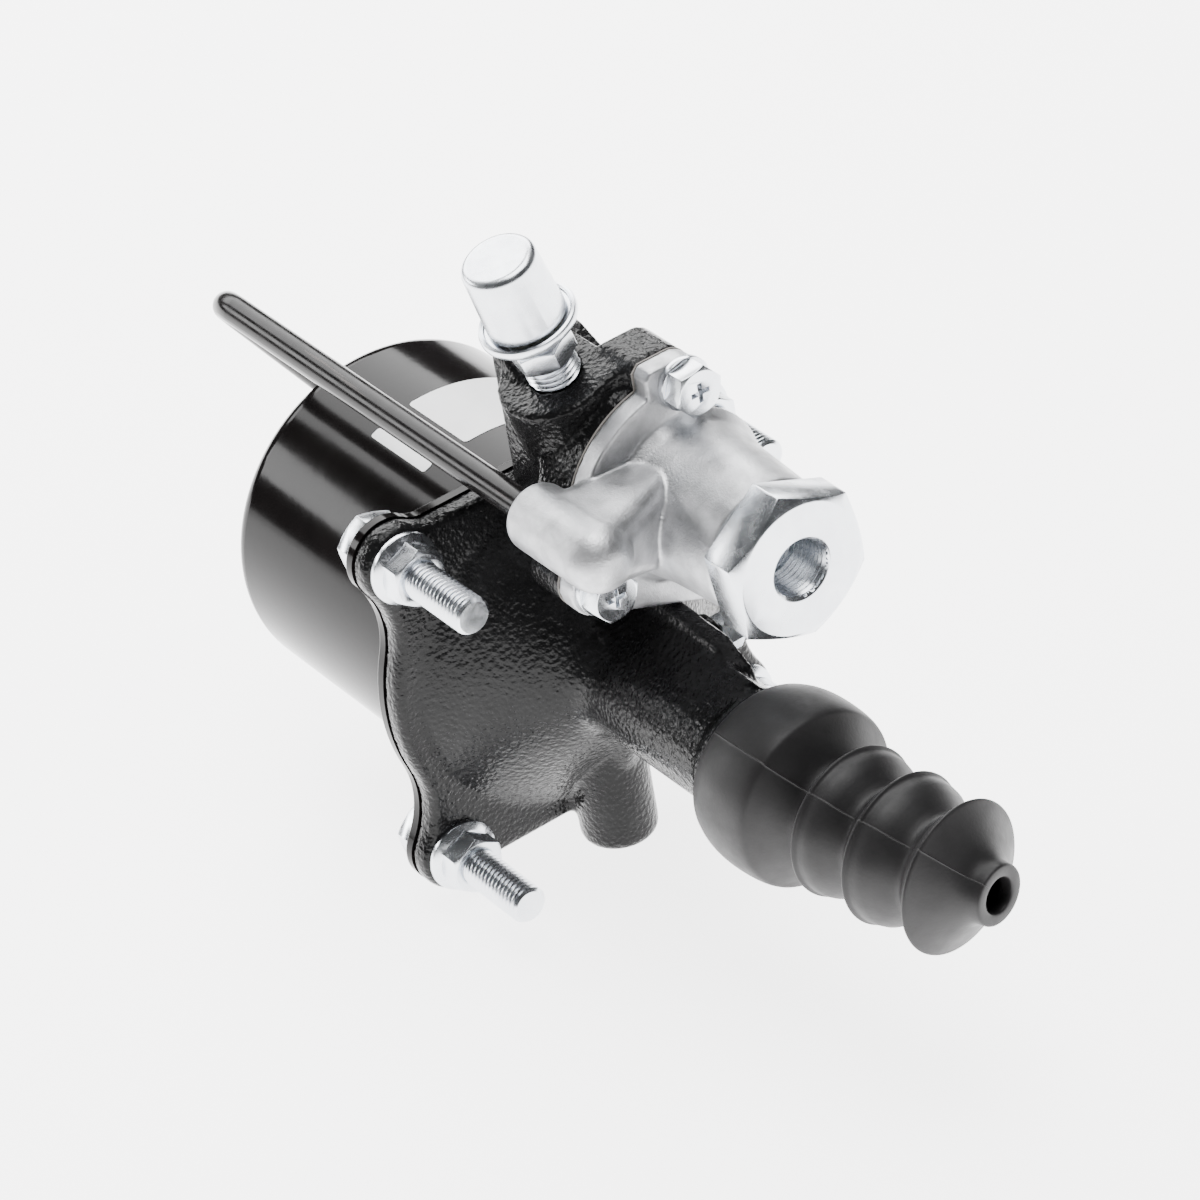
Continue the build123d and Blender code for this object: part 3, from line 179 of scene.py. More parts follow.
# The two tones of the metals that aren't zinc or aluminium
METAL_TONES = {
    "bronze": ((0.55, 0.38, 0.20, 1), (0.47, 0.33, 0.18, 1)),
    "steel": ((0.50, 0.50, 0.51, 1), (0.42, 0.42, 0.43, 1)),
    "spring_steel": ((0.22, 0.22, 0.24, 1), (0.30, 0.29, 0.28, 1)),
}
ZINC_SHADE = (0.66, 0.68, 0.72, 1)
# Rubber and other soft stock: slot, name, tone (None is the boot's), roughness, grain, depth of the grain
SOFT_STOCK = (
    ("boot_rubber", "Boot rubber", None, 0.44, 0.56, 1300.0, 0.05),
    ("seal_rubber", "Seal rubber", (0.015, 0.015, 0.016), 0.45, 0.6, 1800.0, 0.02),
    ("gasket_fibre", "Gasket fibre", (0.16, 0.15, 0.14), 0.7, 0.85, 2500.0, 0.05),
    ("felt", "Pressed felt", (0.48, 0.45, 0.38), 0.85, 0.95, 2600.0, 0.12),
)
SOFT_SHADE = 1.5

# Studio, in metres. Lights: name, place, the point they aim at, size
FLOOR_SIZE = 8.0
FLOOR_GAP = 0.0005
SOFT_BOXES = (
    ("ceiling_box", (0.0, 0.15, 1.4), (0, 0, 0), (1.1, 1.0)),
    ("back_box", (-1.14, 0.40, 0.92), (0, 0, 0), (1.8, 0.8)),
    ("side_box", (-0.98, -0.74, 0.47), (0, 0, 0.02), (0.55, 0.30)),
)
WORLD_TINT = (0.95, 0.97, 1.0, 1)
# The photograph's camera: 60 degrees round from the front and 35 degrees up, by its right and down axes
CAMERA_PLACE = (0.96635, -0.55637, 0.79483)
CAMERA_RIGHT = (0.5808, 0.8012, -0.1440)
CAMERA_DOWN = (0.4005, -0.4352, -0.8063)
SENSOR_WIDTH = 36.0


class CastingSettings(bpy.types.PropertyGroup):
    """How the castings are smoothed."""

    housing_voxel: bpy.props.FloatProperty(
        name="Housing voxel", description="Voxel size of the blended housing casting",
        default=0.92 * MM, min=0.5 * MM, unit="LENGTH", precision=5)
    housing_rounds: bpy.props.IntProperty(
        name="Housing rounds", description="Smoothing rounds that blend the housing's edges", default=7)
    cover_voxel: bpy.props.FloatProperty(
        name="Cover voxel", description="Voxel size of the blended cover casting",
        default=0.5 * MM, min=0.3 * MM, unit="LENGTH", precision=5)
    cover_rounds: bpy.props.IntProperty(
        name="Cover rounds", description="Smoothing rounds that blend the cover's edges", default=7)
    paint: bpy.props.FloatVectorProperty(
        name="Paint", description="Black paint of the casting", default=(0.006, 0.006, 0.0062),
        size=3, subtype="COLOR")
    aluminium: bpy.props.FloatVectorProperty(
        name="Aluminium", description="Bare cast aluminium", default=(0.56, 0.565, 0.58),
        size=3, subtype="COLOR")


class ThreadSettings(bpy.types.PropertyGroup):
    """Thread sizes."""

    bolt_radius: bpy.props.FloatProperty(
        name="Bolt radius", description="Outside radius of the flange bolts",
        default=5.0 * MM, unit="LENGTH", precision=5)
    bolt_pitch: bpy.props.FloatProperty(
        name="Bolt thread pitch", description="Pitch of the flange bolts' thread",
        default=1.5 * MM, unit="LENGTH", precision=5)
    inlet_pitch: bpy.props.FloatProperty(
        name="Inlet thread pitch", description="Pitch of the thread inside the plug",
        default=1.5 * MM, unit="LENGTH", precision=5)
    zinc: bpy.props.FloatVectorProperty(
        name="Zinc", description="Bright zinc plating", default=(0.74, 0.77, 0.80),
        size=3, subtype="COLOR")


class BootSettings(bpy.types.PropertyGroup):
    """Sizes of the rubber boot."""

    wall: bpy.props.FloatProperty(
        name="Wall", description="Thickness of the boot's wall", default=1.9 * MM, unit="LENGTH", precision=5)
    seam_angle: bpy.props.FloatProperty(
        name="Seam angle", description="Where the mould line runs round the boot",
        default=math.radians(126.0), subtype="ANGLE")
    rubber: bpy.props.FloatVectorProperty(
        name="Rubber", description="Charcoal rubber", default=(0.009, 0.0085, 0.009),
        size=3, subtype="COLOR")


class StudioSettings(bpy.types.PropertyGroup):
    """Floor, lights and camera."""

    focal_length: bpy.props.FloatProperty(
        name="Focal length", description="Focal length in millimetres on a 36 mm sensor", default=165.0)
    floor_colour: bpy.props.FloatVectorProperty(
        name="Floor", description="Pale studio floor", default=(0.82, 0.815, 0.815), size=3, subtype="COLOR")
    world_light: bpy.props.FloatProperty(
        name="Surroundings", description="Strength of the even light around", default=0.06)
    floor_glow: bpy.props.FloatProperty(
        name="Floor glow", description="How strongly the light table under the object shines", default=5.0)
    ceiling_power: bpy.props.FloatProperty(
        name="Ceiling power", description="Power of the large soft box above", default=30.0, unit="POWER")
    back_power: bpy.props.FloatProperty(
        name="Back power", description="Power of the wide soft box behind", default=44.0, unit="POWER")
    side_power: bpy.props.FloatProperty(
        name="Side power", description="Power of the narrow soft box at the side", default=7.0, unit="POWER")


# Modelling helpers


def deselect():
    """Leaves nothing selected and no edit mode."""
    if bpy.context.object and bpy.context.object.mode != "OBJECT":
        bpy.ops.object.mode_set(mode="OBJECT")
    bpy.ops.object.select_all(action="DESELECT")


def take(obj):
    """Makes one object the only selected and the active one."""
    deselect()
    obj.select_set(True)
    bpy.context.view_layer.objects.active = obj
    return obj


def started(name):
    """Names the primitive that was just added."""
    obj = bpy.context.object
    obj.name = name
    obj.data.name = name
    return obj


def edit(obj):
    """Opens edit mode with nothing selected, in vertex mode."""
    take(obj)
    bpy.ops.object.mode_set(mode="EDIT")
    bpy.ops.mesh.select_mode(type="VERT")
    bpy.ops.mesh.select_all(action="DESELECT")


def edit_all(obj):
    """Opens edit mode with everything selected."""
    edit(obj)
    bpy.ops.mesh.select_all(action="SELECT")


def leave():
    """Closes edit mode."""
    bpy.ops.object.mode_set(mode="OBJECT")


def pick(obj, test):
    """Selects the vertices that pass the test, in edit mode."""
    edit(obj)
    mesh = bmesh.from_edit_mesh(obj.data)
    chosen = [vertex for vertex in mesh.verts if test(vertex)]
    if not chosen:
        raise RuntimeError(f"nothing to select on {obj.name}")
    for vertex in chosen:
        vertex.select_set(True)
    bmesh.update_edit_mesh(obj.data)


def slice_through(obj, point, normal, **settings):
    """Cuts a whole mesh along a plane."""
    edit_all(obj)
    bpy.ops.mesh.bisect(plane_co=point, plane_no=normal, threshold=CUT_TOLERANCE, **settings)
    leave()


def merge_doubles(obj):
    """Merges the vertices that lie on each other."""
    edit_all(obj)
    bpy.ops.mesh.remove_doubles(threshold=DOUBLES)
    leave()


def finish_with(obj, kind, **settings):
    """Adds a modifier with these settings and applies it."""
    take(obj)
    modifier = obj.modifiers.new(kind.title(), kind)
    for key, value in settings.items():
        setattr(modifier, key, value)
    bpy.ops.object.modifier_apply(modifier=modifier.name)


def shape_with(obj, other, operation):
    """Cuts or trims a piece by another, which is used up."""
    finish_with(obj, "BOOLEAN", operation=operation, object=other, solver="EXACT")
    bpy.data.objects.remove(other)


def settle(obj):
    """Puts an object's place, turn and scale into its mesh."""
    take(obj)
    bpy.ops.object.transform_apply(location=True, rotation=True, scale=True)
    return obj


def smooth(obj, angle=30.0):
    """Shades the piece smooth except where it turns by more than the angle."""
    take(obj)
    bpy.ops.object.shade_smooth_by_angle(angle=math.radians(angle))
    return obj


def face_outwards(obj):
    """Merges doubles, then turns the faces outwards."""
    edit_all(obj)
    bpy.ops.mesh.remove_doubles(threshold=DOUBLES)
    bpy.ops.mesh.normals_make_consistent(inside=False)
    leave()
    return obj


def chain(name, points):
    """A row of edges through points, drawn by extruding one vertex after the other."""
    deselect()
    bpy.ops.mesh.primitive_plane_add(size=MM)
    obj = started(name)
    bpy.ops.object.mode_set(mode="EDIT")
    bpy.ops.mesh.select_all(action="SELECT")
    bpy.ops.mesh.merge(type="CENTER")
    bpy.ops.transform.translate(value=points[0])
    for before, after in zip(points, points[1:]):
        step = Vector(after) - Vector(before)
        bpy.ops.mesh.extrude_region_move(TRANSFORM_OT_translate={"value": step})
    leave()
    return obj


def turn_round(obj, steps, lead=0.0, turns=1):
    """Turns a row of edges round the X axis, along it too for a thread."""
    finish_with(obj, "SCREW", axis="X", angle=math.tau, steps=steps, render_steps=steps, screw_offset=lead,
                iterations=turns, use_merge_vertices=True, merge_threshold=DOUBLES / 2, use_smooth_shade=True)
    return face_outwards(obj)


def turned(name, profile, steps=64):
    """A turned piece from (x, radius) corners in millimetres."""
    return turn_round(chain(name, [(x * MM, 0, r * MM) for x, r in profile]), steps)


def node_copy(node, name):
    """A merged copy of a CAD node that can be worked on."""
    take(frame["nodes"][node])
    bpy.ops.object.duplicate(linked=False)
    obj = started(name)
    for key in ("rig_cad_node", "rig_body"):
        if key in obj:
            del obj[key]
    bpy.ops.object.parent_clear(type="CLEAR_KEEP_TRANSFORM")
    obj.data.materials.clear()
    merge_doubles(obj)
    return obj


def another(obj, name):
    """A copy with its own mesh."""
    take(obj)
    bpy.ops.object.duplicate(linked=False)
    return started(name)


def join(parts, name):
    """Joins several pieces into one object."""
    deselect()
    for part in parts:
        part.select_set(True)
    bpy.context.view_layer.objects.active = parts[0]
    bpy.ops.object.join()
    return started(name)


def dressed(obj, slot, stands_for=None, finish=None):
    """Gives a finished piece the material of its slot or finish and its body, and hides the CAD node it
    stands for.
    """
    obj.data.materials.clear()
    obj.data.materials.append(FINISHES[finish or slot])
    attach(obj, BODY)
    if stands_for:
        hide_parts(stands_for)


# Shader groups


def new_group(name, inputs, outputs):
    """An empty shader node group with named sockets."""
    group = bpy.data.node_groups.new(name, "ShaderNodeTree")
    for label, kind, default in inputs:
        socket = group.interface.new_socket(label, in_out="INPUT", socket_type=kind)
        if default is not None:
            socket.default_value = default
    for label, kind in outputs:
        group.interface.new_socket(label, in_out="OUTPUT", socket_type=kind)
    group.nodes.new("NodeGroupInput").name = "in"
    group.nodes.new("NodeGroupOutput").name = "out"
    return group


def add(tree, kind, values=None, **settings):
    """A node with its settings and unlinked input values."""
    node = tree.nodes.new(kind)
    for key, value in settings.items():
        setattr(node, key, value)
    for key, value in (values or {}).items():
        node.inputs[key].default_value = value
    return node


def link(tree, source, target):
    """A link from an output to an input."""
    tree.links.new(source, target)


def ramp(tree, source, low, high):
    """Stretches a value between two limits to 0 and 1."""
    node = add(tree, "ShaderNodeMapRange", {"From Min": low, "From Max": high}, clamp=True)
    link(tree, source, node.inputs["Value"])
    return node.outputs["Result"]


def group_cast_skin():
    """Leathery sand-cast skin: soft pebbles with a finer grain on them."""
    group = new_group("Cast skin", [("Vector", "NodeSocketVector", None), ("Grain", "NodeSocketFloat", 800.0),
                                    ("Fine", "NodeSocketFloat", 0.3)], [("Height", "NodeSocketFloat")])
    start, end = group.nodes["in"], group.nodes["out"]
    warp = add(group, "ShaderNodeTexNoise", {"Detail": 2.0, "Roughness": 0.55})
    link(group, start.outputs["Vector"], warp.inputs["Vector"])
    link(group, start.outputs["Grain"], warp.inputs["Scale"])
    pebbles = add(group, "ShaderNodeTexVoronoi", {"Smoothness": 0.8, "Randomness": 1.0}, feature="SMOOTH_F1")
    link(group, start.outputs["Vector"], pebbles.inputs["Vector"])
    link(group, start.outputs["Grain"], pebbles.inputs["Scale"])
    mix = add(group, "ShaderNodeMix", {"Factor": 0.45}, data_type="FLOAT")
    link(group, pebbles.outputs["Distance"], mix.inputs[2])
    link(group, warp.outputs["Fac"], mix.inputs[3])
    faster = add(group, "ShaderNodeMath", {1: 2.7}, operation="MULTIPLY")
    link(group, start.outputs["Grain"], faster.inputs[0])
    fine = add(group, "ShaderNodeTexNoise", {"Detail": 1.0})
    link(group, start.outputs["Vector"], fine.inputs["Vector"])
    link(group, faster.outputs[0], fine.inputs["Scale"])
    part = add(group, "ShaderNodeMath", operation="MULTIPLY")
    link(group, fine.outputs["Fac"], part.inputs[0])
    link(group, start.outputs["Fine"], part.inputs[1])
    total = add(group, "ShaderNodeMath", operation="ADD")
    link(group, mix.outputs[0], total.inputs[0])
    link(group, part.outputs[0], total.inputs[1])
    link(group, total.outputs[0], end.inputs["Height"])
    return group


def group_drift():
    """Two colours that drift into each other in clouds."""
    group = new_group("Colour drift", [
        ("Vector", "NodeSocketVector", None), ("Scale", "NodeSocketFloat", 60.0),
        ("First", "NodeSocketColor", (0.5, 0.5, 0.5, 1)), ("Second", "NodeSocketColor", (0.6, 0.6, 0.6, 1))],
        [("Color", "NodeSocketColor")])
    start, end = group.nodes["in"], group.nodes["out"]
    clouds = add(group, "ShaderNodeTexNoise", {"Detail": 4.0, "Roughness": 0.6})
    link(group, start.outputs["Vector"], clouds.inputs["Vector"])
    link(group, start.outputs["Scale"], clouds.inputs["Scale"])
    mask = ramp(group, clouds.outputs["Fac"], 0.35, 0.65)
    mix = add(group, "ShaderNodeMix", data_type="RGBA")
    link(group, mask, mix.inputs["Factor"])
    link(group, start.outputs["First"], mix.inputs[6])
    link(group, start.outputs["Second"], mix.inputs[7])
    link(group, mix.outputs[2], end.inputs["Color"])
    return group


def group_gloss():
    """A roughness that wanders between two values."""
    group = new_group("Gloss drift", [
        ("Vector", "NodeSocketVector", None), ("Scale", "NodeSocketFloat", 60.0),
        ("Low", "NodeSocketFloat", 0.2), ("High", "NodeSocketFloat", 0.4)],
        [("Roughness", "NodeSocketFloat")])
    start, end = group.nodes["in"], group.nodes["out"]
    clouds = add(group, "ShaderNodeTexNoise", {"Detail": 3.0, "Roughness": 0.6})
    link(group, start.outputs["Vector"], clouds.inputs["Vector"])
    link(group, start.outputs["Scale"], clouds.inputs["Scale"])
    node = add(group, "ShaderNodeMapRange", {"From Min": 0.3, "From Max": 0.7}, clamp=True)
    link(group, clouds.outputs["Fac"], node.inputs["Value"])
    link(group, start.outputs["Low"], node.inputs["To Min"])
    link(group, start.outputs["High"], node.inputs["To Max"])
    link(group, node.outputs["Result"], end.inputs["Roughness"])
    return group


def group_scratches():
    """Thin scratches along X, few and broken."""
    group = new_group("Scratches", [("Vector", "NodeSocketVector", None), ("Scale", "NodeSocketFloat", 400.0),
                                    ("Amount", "NodeSocketFloat", 0.5)], [("Mask", "NodeSocketFloat")])
    start, end = group.nodes["in"], group.nodes["out"]
    squeeze = add(group, "ShaderNodeVectorMath", {1: (0.06, 1.0, 1.0)}, operation="MULTIPLY")
    link(group, start.outputs["Vector"], squeeze.inputs[0])
    lines = add(group, "ShaderNodeTexNoise", {"Detail": 2.0, "Roughness": 0.7})
    link(group, squeeze.outputs[0], lines.inputs["Vector"])
    link(group, start.outputs["Scale"], lines.inputs["Scale"])
    narrow = ramp(group, lines.outputs["Fac"], 0.66, 0.74)
    scaled = add(group, "ShaderNodeMath", operation="MULTIPLY")
    link(group, narrow, scaled.inputs[0])
    link(group, start.outputs["Amount"], scaled.inputs[1])
    link(group, scaled.outputs[0], end.inputs["Mask"])
    return group


def material(name, **constants):
    """A material with one Principled shader, its constants and the Object coordinates."""
    finish = bpy.data.materials.new(name)
    finish.use_nodes = True
    tree = finish.node_tree
    shader = tree.nodes["Principled BSDF"]
    for key, value in constants.items():
        shader.inputs[key.replace("_", " ")].default_value = value
    place = add(tree, "ShaderNodeTexCoord")
    return finish, tree, shader, place.outputs["Object"]


def grouped(tree, group, vector, **values):
    """A group node on the Object coordinates, with its values."""
    node = add(tree, "ShaderNodeGroup", node_tree=group)
    link(tree, vector, node.inputs["Vector"])
    for key, value in values.items():
        node.inputs[key].default_value = value
    return node


def rgba(colour, factor=1.0):
    """A colour with its alpha, made lighter or darker."""
    return (colour[0] * factor, colour[1] * factor, colour[2] * factor, 1.0)


def make_finishes():
    """Every finish of the object, by name."""
    scene = bpy.context.scene
    casting, threads, rubber_boot = scene.clutch_casting, scene.clutch_threads, scene.clutch_boot
    skin, drift, gloss, scratch = group_cast_skin(), group_drift(), group_gloss(), group_scratches()
    finishes = {}

    def coloured(tree, shader, vector, scale, first, second):
        """Two tones that drift into each other, for the base colour."""
        node = grouped(tree, drift, vector, Scale=scale, First=first, Second=second)
        link(tree, node.outputs["Color"], shader.inputs["Base Color"])

    def glossy(tree, shader, vector, scale, low, high):
        """A roughness that wanders."""
        node = grouped(tree, gloss, vector, Scale=scale, Low=low, High=high)
        link(tree, node.outputs["Roughness"], shader.inputs["Roughness"])

    def bumped(tree, shader, vector, grain, fine, depth, strength):
        """The cast skin as bump, its depth in millimetres."""
        node = grouped(tree, skin, vector, Grain=grain, Fine=fine)
        bump = add(tree, "ShaderNodeBump", {"Strength": strength, "Distance": depth * MM})
        link(tree, node.outputs["Height"], bump.inputs["Height"])
        link(tree, bump.outputs["Normal"], shader.inputs["Normal"])

    # Gloss paint over the sand-cast skin
    finish, tree, shader, vector = material("Cast paint", IOR=1.245)
    coloured(tree, shader, vector, scale=90.0, first=rgba(casting.paint), second=rgba(casting.paint, 1.8))
    glossy(tree, shader, vector, scale=300.0, low=0.11, high=0.20)
    bumped(tree, shader, vector, grain=820.0, fine=0.18, depth=0.42, strength=1.0)
    finishes["housing_paint"] = finish

    # Smooth gloss paint of the pressed shell, with a slight orange peel
    finish, tree, shader, vector = material("Cylinder paint", IOR=1.21)
    coloured(tree, shader, vector, scale=30.0, first=(0.004, 0.0035, 0.0035, 1),
             second=(0.006, 0.005, 0.005, 1))
    glossy(tree, shader, vector, scale=40.0, low=0.10, high=0.17)
    bumped(tree, shader, vector, grain=420.0, fine=0.1, depth=0.02, strength=0.5)
    finishes["shell_paint"] = finish

    # Semi-gloss pipe paint with rubbed scratches
    finish, tree, shader, vector = material("Pipe paint", IOR=1.27)
    base = grouped(tree, drift, vector, Scale=120.0, First=(0.004, 0.0035, 0.0035, 1),
                   Second=(0.008, 0.007, 0.007, 1))
    rubs = grouped(tree, scratch, vector, Scale=500.0, Amount=0.3)
    mix = add(tree, "ShaderNodeMix", data_type="RGBA")
    link(tree, rubs.outputs["Mask"], mix.inputs["Factor"])
    link(tree, base.outputs["Color"], mix.inputs[6])
    mix.inputs[7].default_value = (0.16, 0.13, 0.12, 1)
    link(tree, mix.outputs[2], shader.inputs["Base Color"])
    glossy(tree, shader, vector, scale=200.0, low=0.14, high=0.26)
    finishes["pipe_paint"] = finish

    # Bare cast aluminium
    finish, tree, shader, vector = material("Cast aluminium", Metallic=1.0)
    coloured(tree, shader, vector, scale=95.0, first=rgba(casting.aluminium),
             second=rgba(casting.aluminium, 0.62))
    glossy(tree, shader, vector, scale=210.0, low=0.38, high=0.58)
    bumped(tree, shader, vector, grain=1500.0, fine=0.6, depth=0.10, strength=0.9)
    finishes["cast_aluminium"] = finish

    for slot, name, low, high, grain in METALS:
        finish, tree, shader, vector = material(name, Metallic=1.0)
        first, second = METAL_TONES.get(slot, (rgba(threads.zinc), ZINC_SHADE))
        coloured(tree, shader, vector, scale=110.0, first=first, second=second)
        glossy(tree, shader, vector, scale=260.0, low=low, high=high)
        bumped(tree, shader, vector, grain, fine=0.3, depth=0.005, strength=0.3)
        finishes[slot] = finish

    for slot, name, tone, low, high, grain, depth in SOFT_STOCK:
        finish, tree, shader, vector = material(name, Specular_IOR_Level=0.32)
        tone = tone or rubber_boot.rubber
        coloured(tree, shader, vector, scale=45.0, first=rgba(tone), second=rgba(tone, SOFT_SHADE))
        glossy(tree, shader, vector, scale=160.0, low=low, high=high)
        bumped(tree, shader, vector, grain, fine=0.4, depth=depth, strength=0.5)
        finishes[slot] = finish

    # Blank label stock
    finish, tree, shader, vector = material("Label film", Specular_IOR_Level=0.5)
    coloured(tree, shader, vector, scale=150.0, first=(0.93, 0.935, 0.94, 1),
             second=(0.89, 0.895, 0.90, 1))
    glossy(tree, shader, vector, scale=90.0, low=0.30, high=0.45)
    bumped(tree, shader, vector, grain=600.0, fine=0.2, depth=0.01, strength=0.4)
    finishes["label"] = finish
    return finishes


FINISHES = {}


class CLUTCH_OT_finishes(bpy.types.Operator):
    """Makes the finishes and paints every CAD node by its slot"""

    bl_idname = "clutch.finishes"
    bl_label = "Paint the CAD nodes"

    def execute(self, context):
        FINISHES.update(make_finishes())
        for entry in frame["record"]["subparts"]:
            node = frame["nodes"][entry["node"]]
            node.data.materials.clear()
            node.data.materials.append(FINISHES[entry["material_slot"]])
        deselect()
        return {"FINISHED"}


class CLUTCH_OT_castings(bpy.types.Operator):
    """Blends the edges of the two castings as a mould does"""

    bl_idname = "clutch.castings"
    bl_label = "Blend the castings"

    def execute(self, context):
        settings = context.scene.clutch_casting
        castings = (
            ("cast_housing", "housing_casting", "housing_paint", settings.housing_voxel,
             settings.housing_rounds),
            ("valve_cover", "cover_casting", "cast_aluminium", settings.cover_voxel, settings.cover_rounds))
        for node, name, slot, voxel, rounds in castings:
            obj = node_copy(node, name)
            if node == "cast_housing":
                obj = join([obj, passage_rib()], name)
            finish_with(obj, "REMESH", mode="VOXEL", voxel_size=voxel, use_smooth_shade=True)
            finish_with(obj, "SMOOTH", factor=0.5, iterations=rounds)
            take(obj)
            bpy.ops.object.shade_smooth()
            dressed(obj, slot, node)
        return {"FINISHED"}


def passage_rib():
    """The web between the port boss and the barrel that carries the drilled fluid passage."""
    start, end = (Vector(point) * MM for point in PASSAGE_RIB)
    span = end - start
    deselect()
    bpy.ops.mesh.primitive_cylinder_add(vertices=32, radius=PASSAGE_RIB_R * MM, depth=span.length,
                                        location=(start + end) / 2,
                                        rotation=span.to_track_quat("Z", "Y").to_euler())
    rib = started("passage_rib")
    return settle(rib)


class CLUTCH_OT_springs(bpy.types.Operator):
    """Copies the springs into pieces of their own, finished as spring wire"""

    bl_idname = "clutch.springs"
    bl_label = "Live springs"

    def execute(self, context):
        for node, joint, held, travel in SPRINGS:
            obj = smooth(node_copy(node, node + "_coil"), angle=40)
            dressed(obj, "spring_steel", node)
            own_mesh(obj)
        return {"FINISHED"}


def boot_outline(wall):
    """(x, radius) corners of the straight boot: its outside, the tip's hole, the inside and the seat."""
    outside = [(0, 21.2), (0.3, 21.9), (1.4, 22.3), (4.0, 23.3), (8.0, 23.9), (12.0, 24.0), (16.0, 23.8),
               (18.8, 23.4), (19.9, 22.9), (20.3, 22.0)]
    before = 20.2
    for crest in CRESTS:
        valley = before + 0.62 * (crest - before)
        rise = crest - valley
        outside += [(before + 0.35 * (valley - before), 19.0), (valley - 1.6, 14.4), (valley, 13.3),
                    (valley + 0.30 * rise, 14.0), (valley + 0.62 * rise, 16.9), (crest - 1.0, 18.6),
                    (crest - 0.3, 19.4), (crest + 0.1, 19.5), (crest + 0.5, 19.3), (crest + 0.9, 18.4)]
        before = crest + 0.6
    outside += [(71.5, 13.6), (74.6, 9.4), (76.4, 8.2), (77.6, 7.95), (79.2, 7.9), (79.9, 7.7), (80.1, 7.2)]
    hole = [(80.1, 5.1), (79.8, 4.6), (79.0, 4.5), (76.0, 4.5), (75.3, 5.0)]
    inside = [(x, r - wall) for x, r in reversed(outside[3:-6])]
    seat = [(6.0, 21.6), (5.2, 18.6), (4.4, 18.45), (1.0, 18.45), (0.2, 18.8)]
    return outside + hole + [(x, r) for x, r in inside if x > BOOT_SEAT_END] + seat


class CLUTCH_OT_boot(bpy.types.Operator):
    """Models the rubber boot as one turned wall with a raised mould line, bent as it hangs"""

    bl_idname = "clutch.boot"
    bl_label = "Boot"

    def execute(self, context):
        settings = context.scene.clutch_boot
        profile = boot_outline(settings.wall / MM)
        obj = chain("boot_skin", [(x * MM, 0, r * MM) for x, r in profile])
        pick(obj, lambda vertex: len(vertex.link_edges) == 1)
        bpy.ops.mesh.edge_face_add()
        leave()
        turn_round(obj, steps=72)
        finish_with(obj, "SUBSURF", levels=1, render_levels=1)
        # The mould line: three cuts close together, the middle one raised
        angle = settings.seam_angle
        across = Vector((0, math.sin(angle), -math.cos(angle)))
        for offset in (-SEAM_HALF_WIDTH, 0.0, SEAM_HALF_WIDTH):
            slice_through(obj, across * (offset * MM), across)
        towards = Vector((0, math.cos(angle), math.sin(angle)))
        pick(obj, lambda vertex: (abs(vertex.co.dot(across)) < 0.02 * MM and vertex.co.dot(towards) > 0
                                  and outer_side(vertex)))
        bpy.ops.transform.shrink_fatten(value=SEAM_RISE * MM)
        leave()
        length = max(v.co.x for v in obj.data.vertices) - min(v.co.x for v in obj.data.vertices)
        obj.location = (NOSE_SHOULDER * MM, 0, 0)
        finish_with(obj, "SIMPLE_DEFORM", deform_method="BEND", deform_axis="Z",
                    angle=length / (BOOT_BEND_R * MM))
        settle(obj)
        smooth(obj, angle=60)
        dressed(obj, "boot_rubber", "boot")
        return {"FINISHED"}


def outer_side(vertex):
    """Whether a vertex lies on the outside of a wall turned round X."""
    out = Vector((0, vertex.co.y, vertex.co.z)).normalized()
    return vertex.normal.dot(out) > -0.05


def thread_rod(name, x0, x1, radius, pitch, depth, steps=40):
    """A threaded rod along X with flat ends."""
    turns = int((x1 - x0) / pitch) + 3
    rod = chain(name, [(x0 - pitch + along * pitch, 0, radius if up else radius - depth)
                       for along, up in THREAD_PROFILE])
    turn_round(rod, steps, lead=pitch, turns=turns)
    slice_through(rod, (x0, 0, 0), (1, 0, 0), use_fill=True, clear_inner=True)
    slice_through(rod, (x1, 0, 0), (1, 0, 0), use_fill=True, clear_outer=True)
    return rod


def hex_head(name, x0, x1, flats, turn):
    """A hexagon head along X whose front corners are turned down."""
    corner = flats / 2 / math.cos(math.radians(30))
    bpy.ops.mesh.primitive_cylinder_add(vertices=6, radius=corner, depth=x1 - x0,
                                        location=((x0 + x1) / 2, 0, 0), rotation=(0, math.radians(90), 0))
    head = started(name)
    settle(head)
    head.rotation_euler = (math.radians(turn), 0, 0)
    settle(head)
    front = HEX_CROWN * flats / 2
    drop = (corner - front) * math.tan(math.radians(30))
    wide = corner * 1.001
    cap = turned(name + "_cap", [(x / MM, r / MM) for x, r in (
        (x0, 0), (x0, front), (x0 + drop, wide), (x1 - drop, wide), (x1, front), (x1, 0))], steps=96)
    shape_with(head, cap, "INTERSECT")
    round_edges(head, HEX_EDGE)
    return head


def round_edges(obj, width):
    """Rounds the sharp edges by a width in millimetres."""
    finish_with(obj, "BEVEL", width=width * MM, segments=2, limit_method="ANGLE",
                angle_limit=math.radians(SHARP_ANGLE))


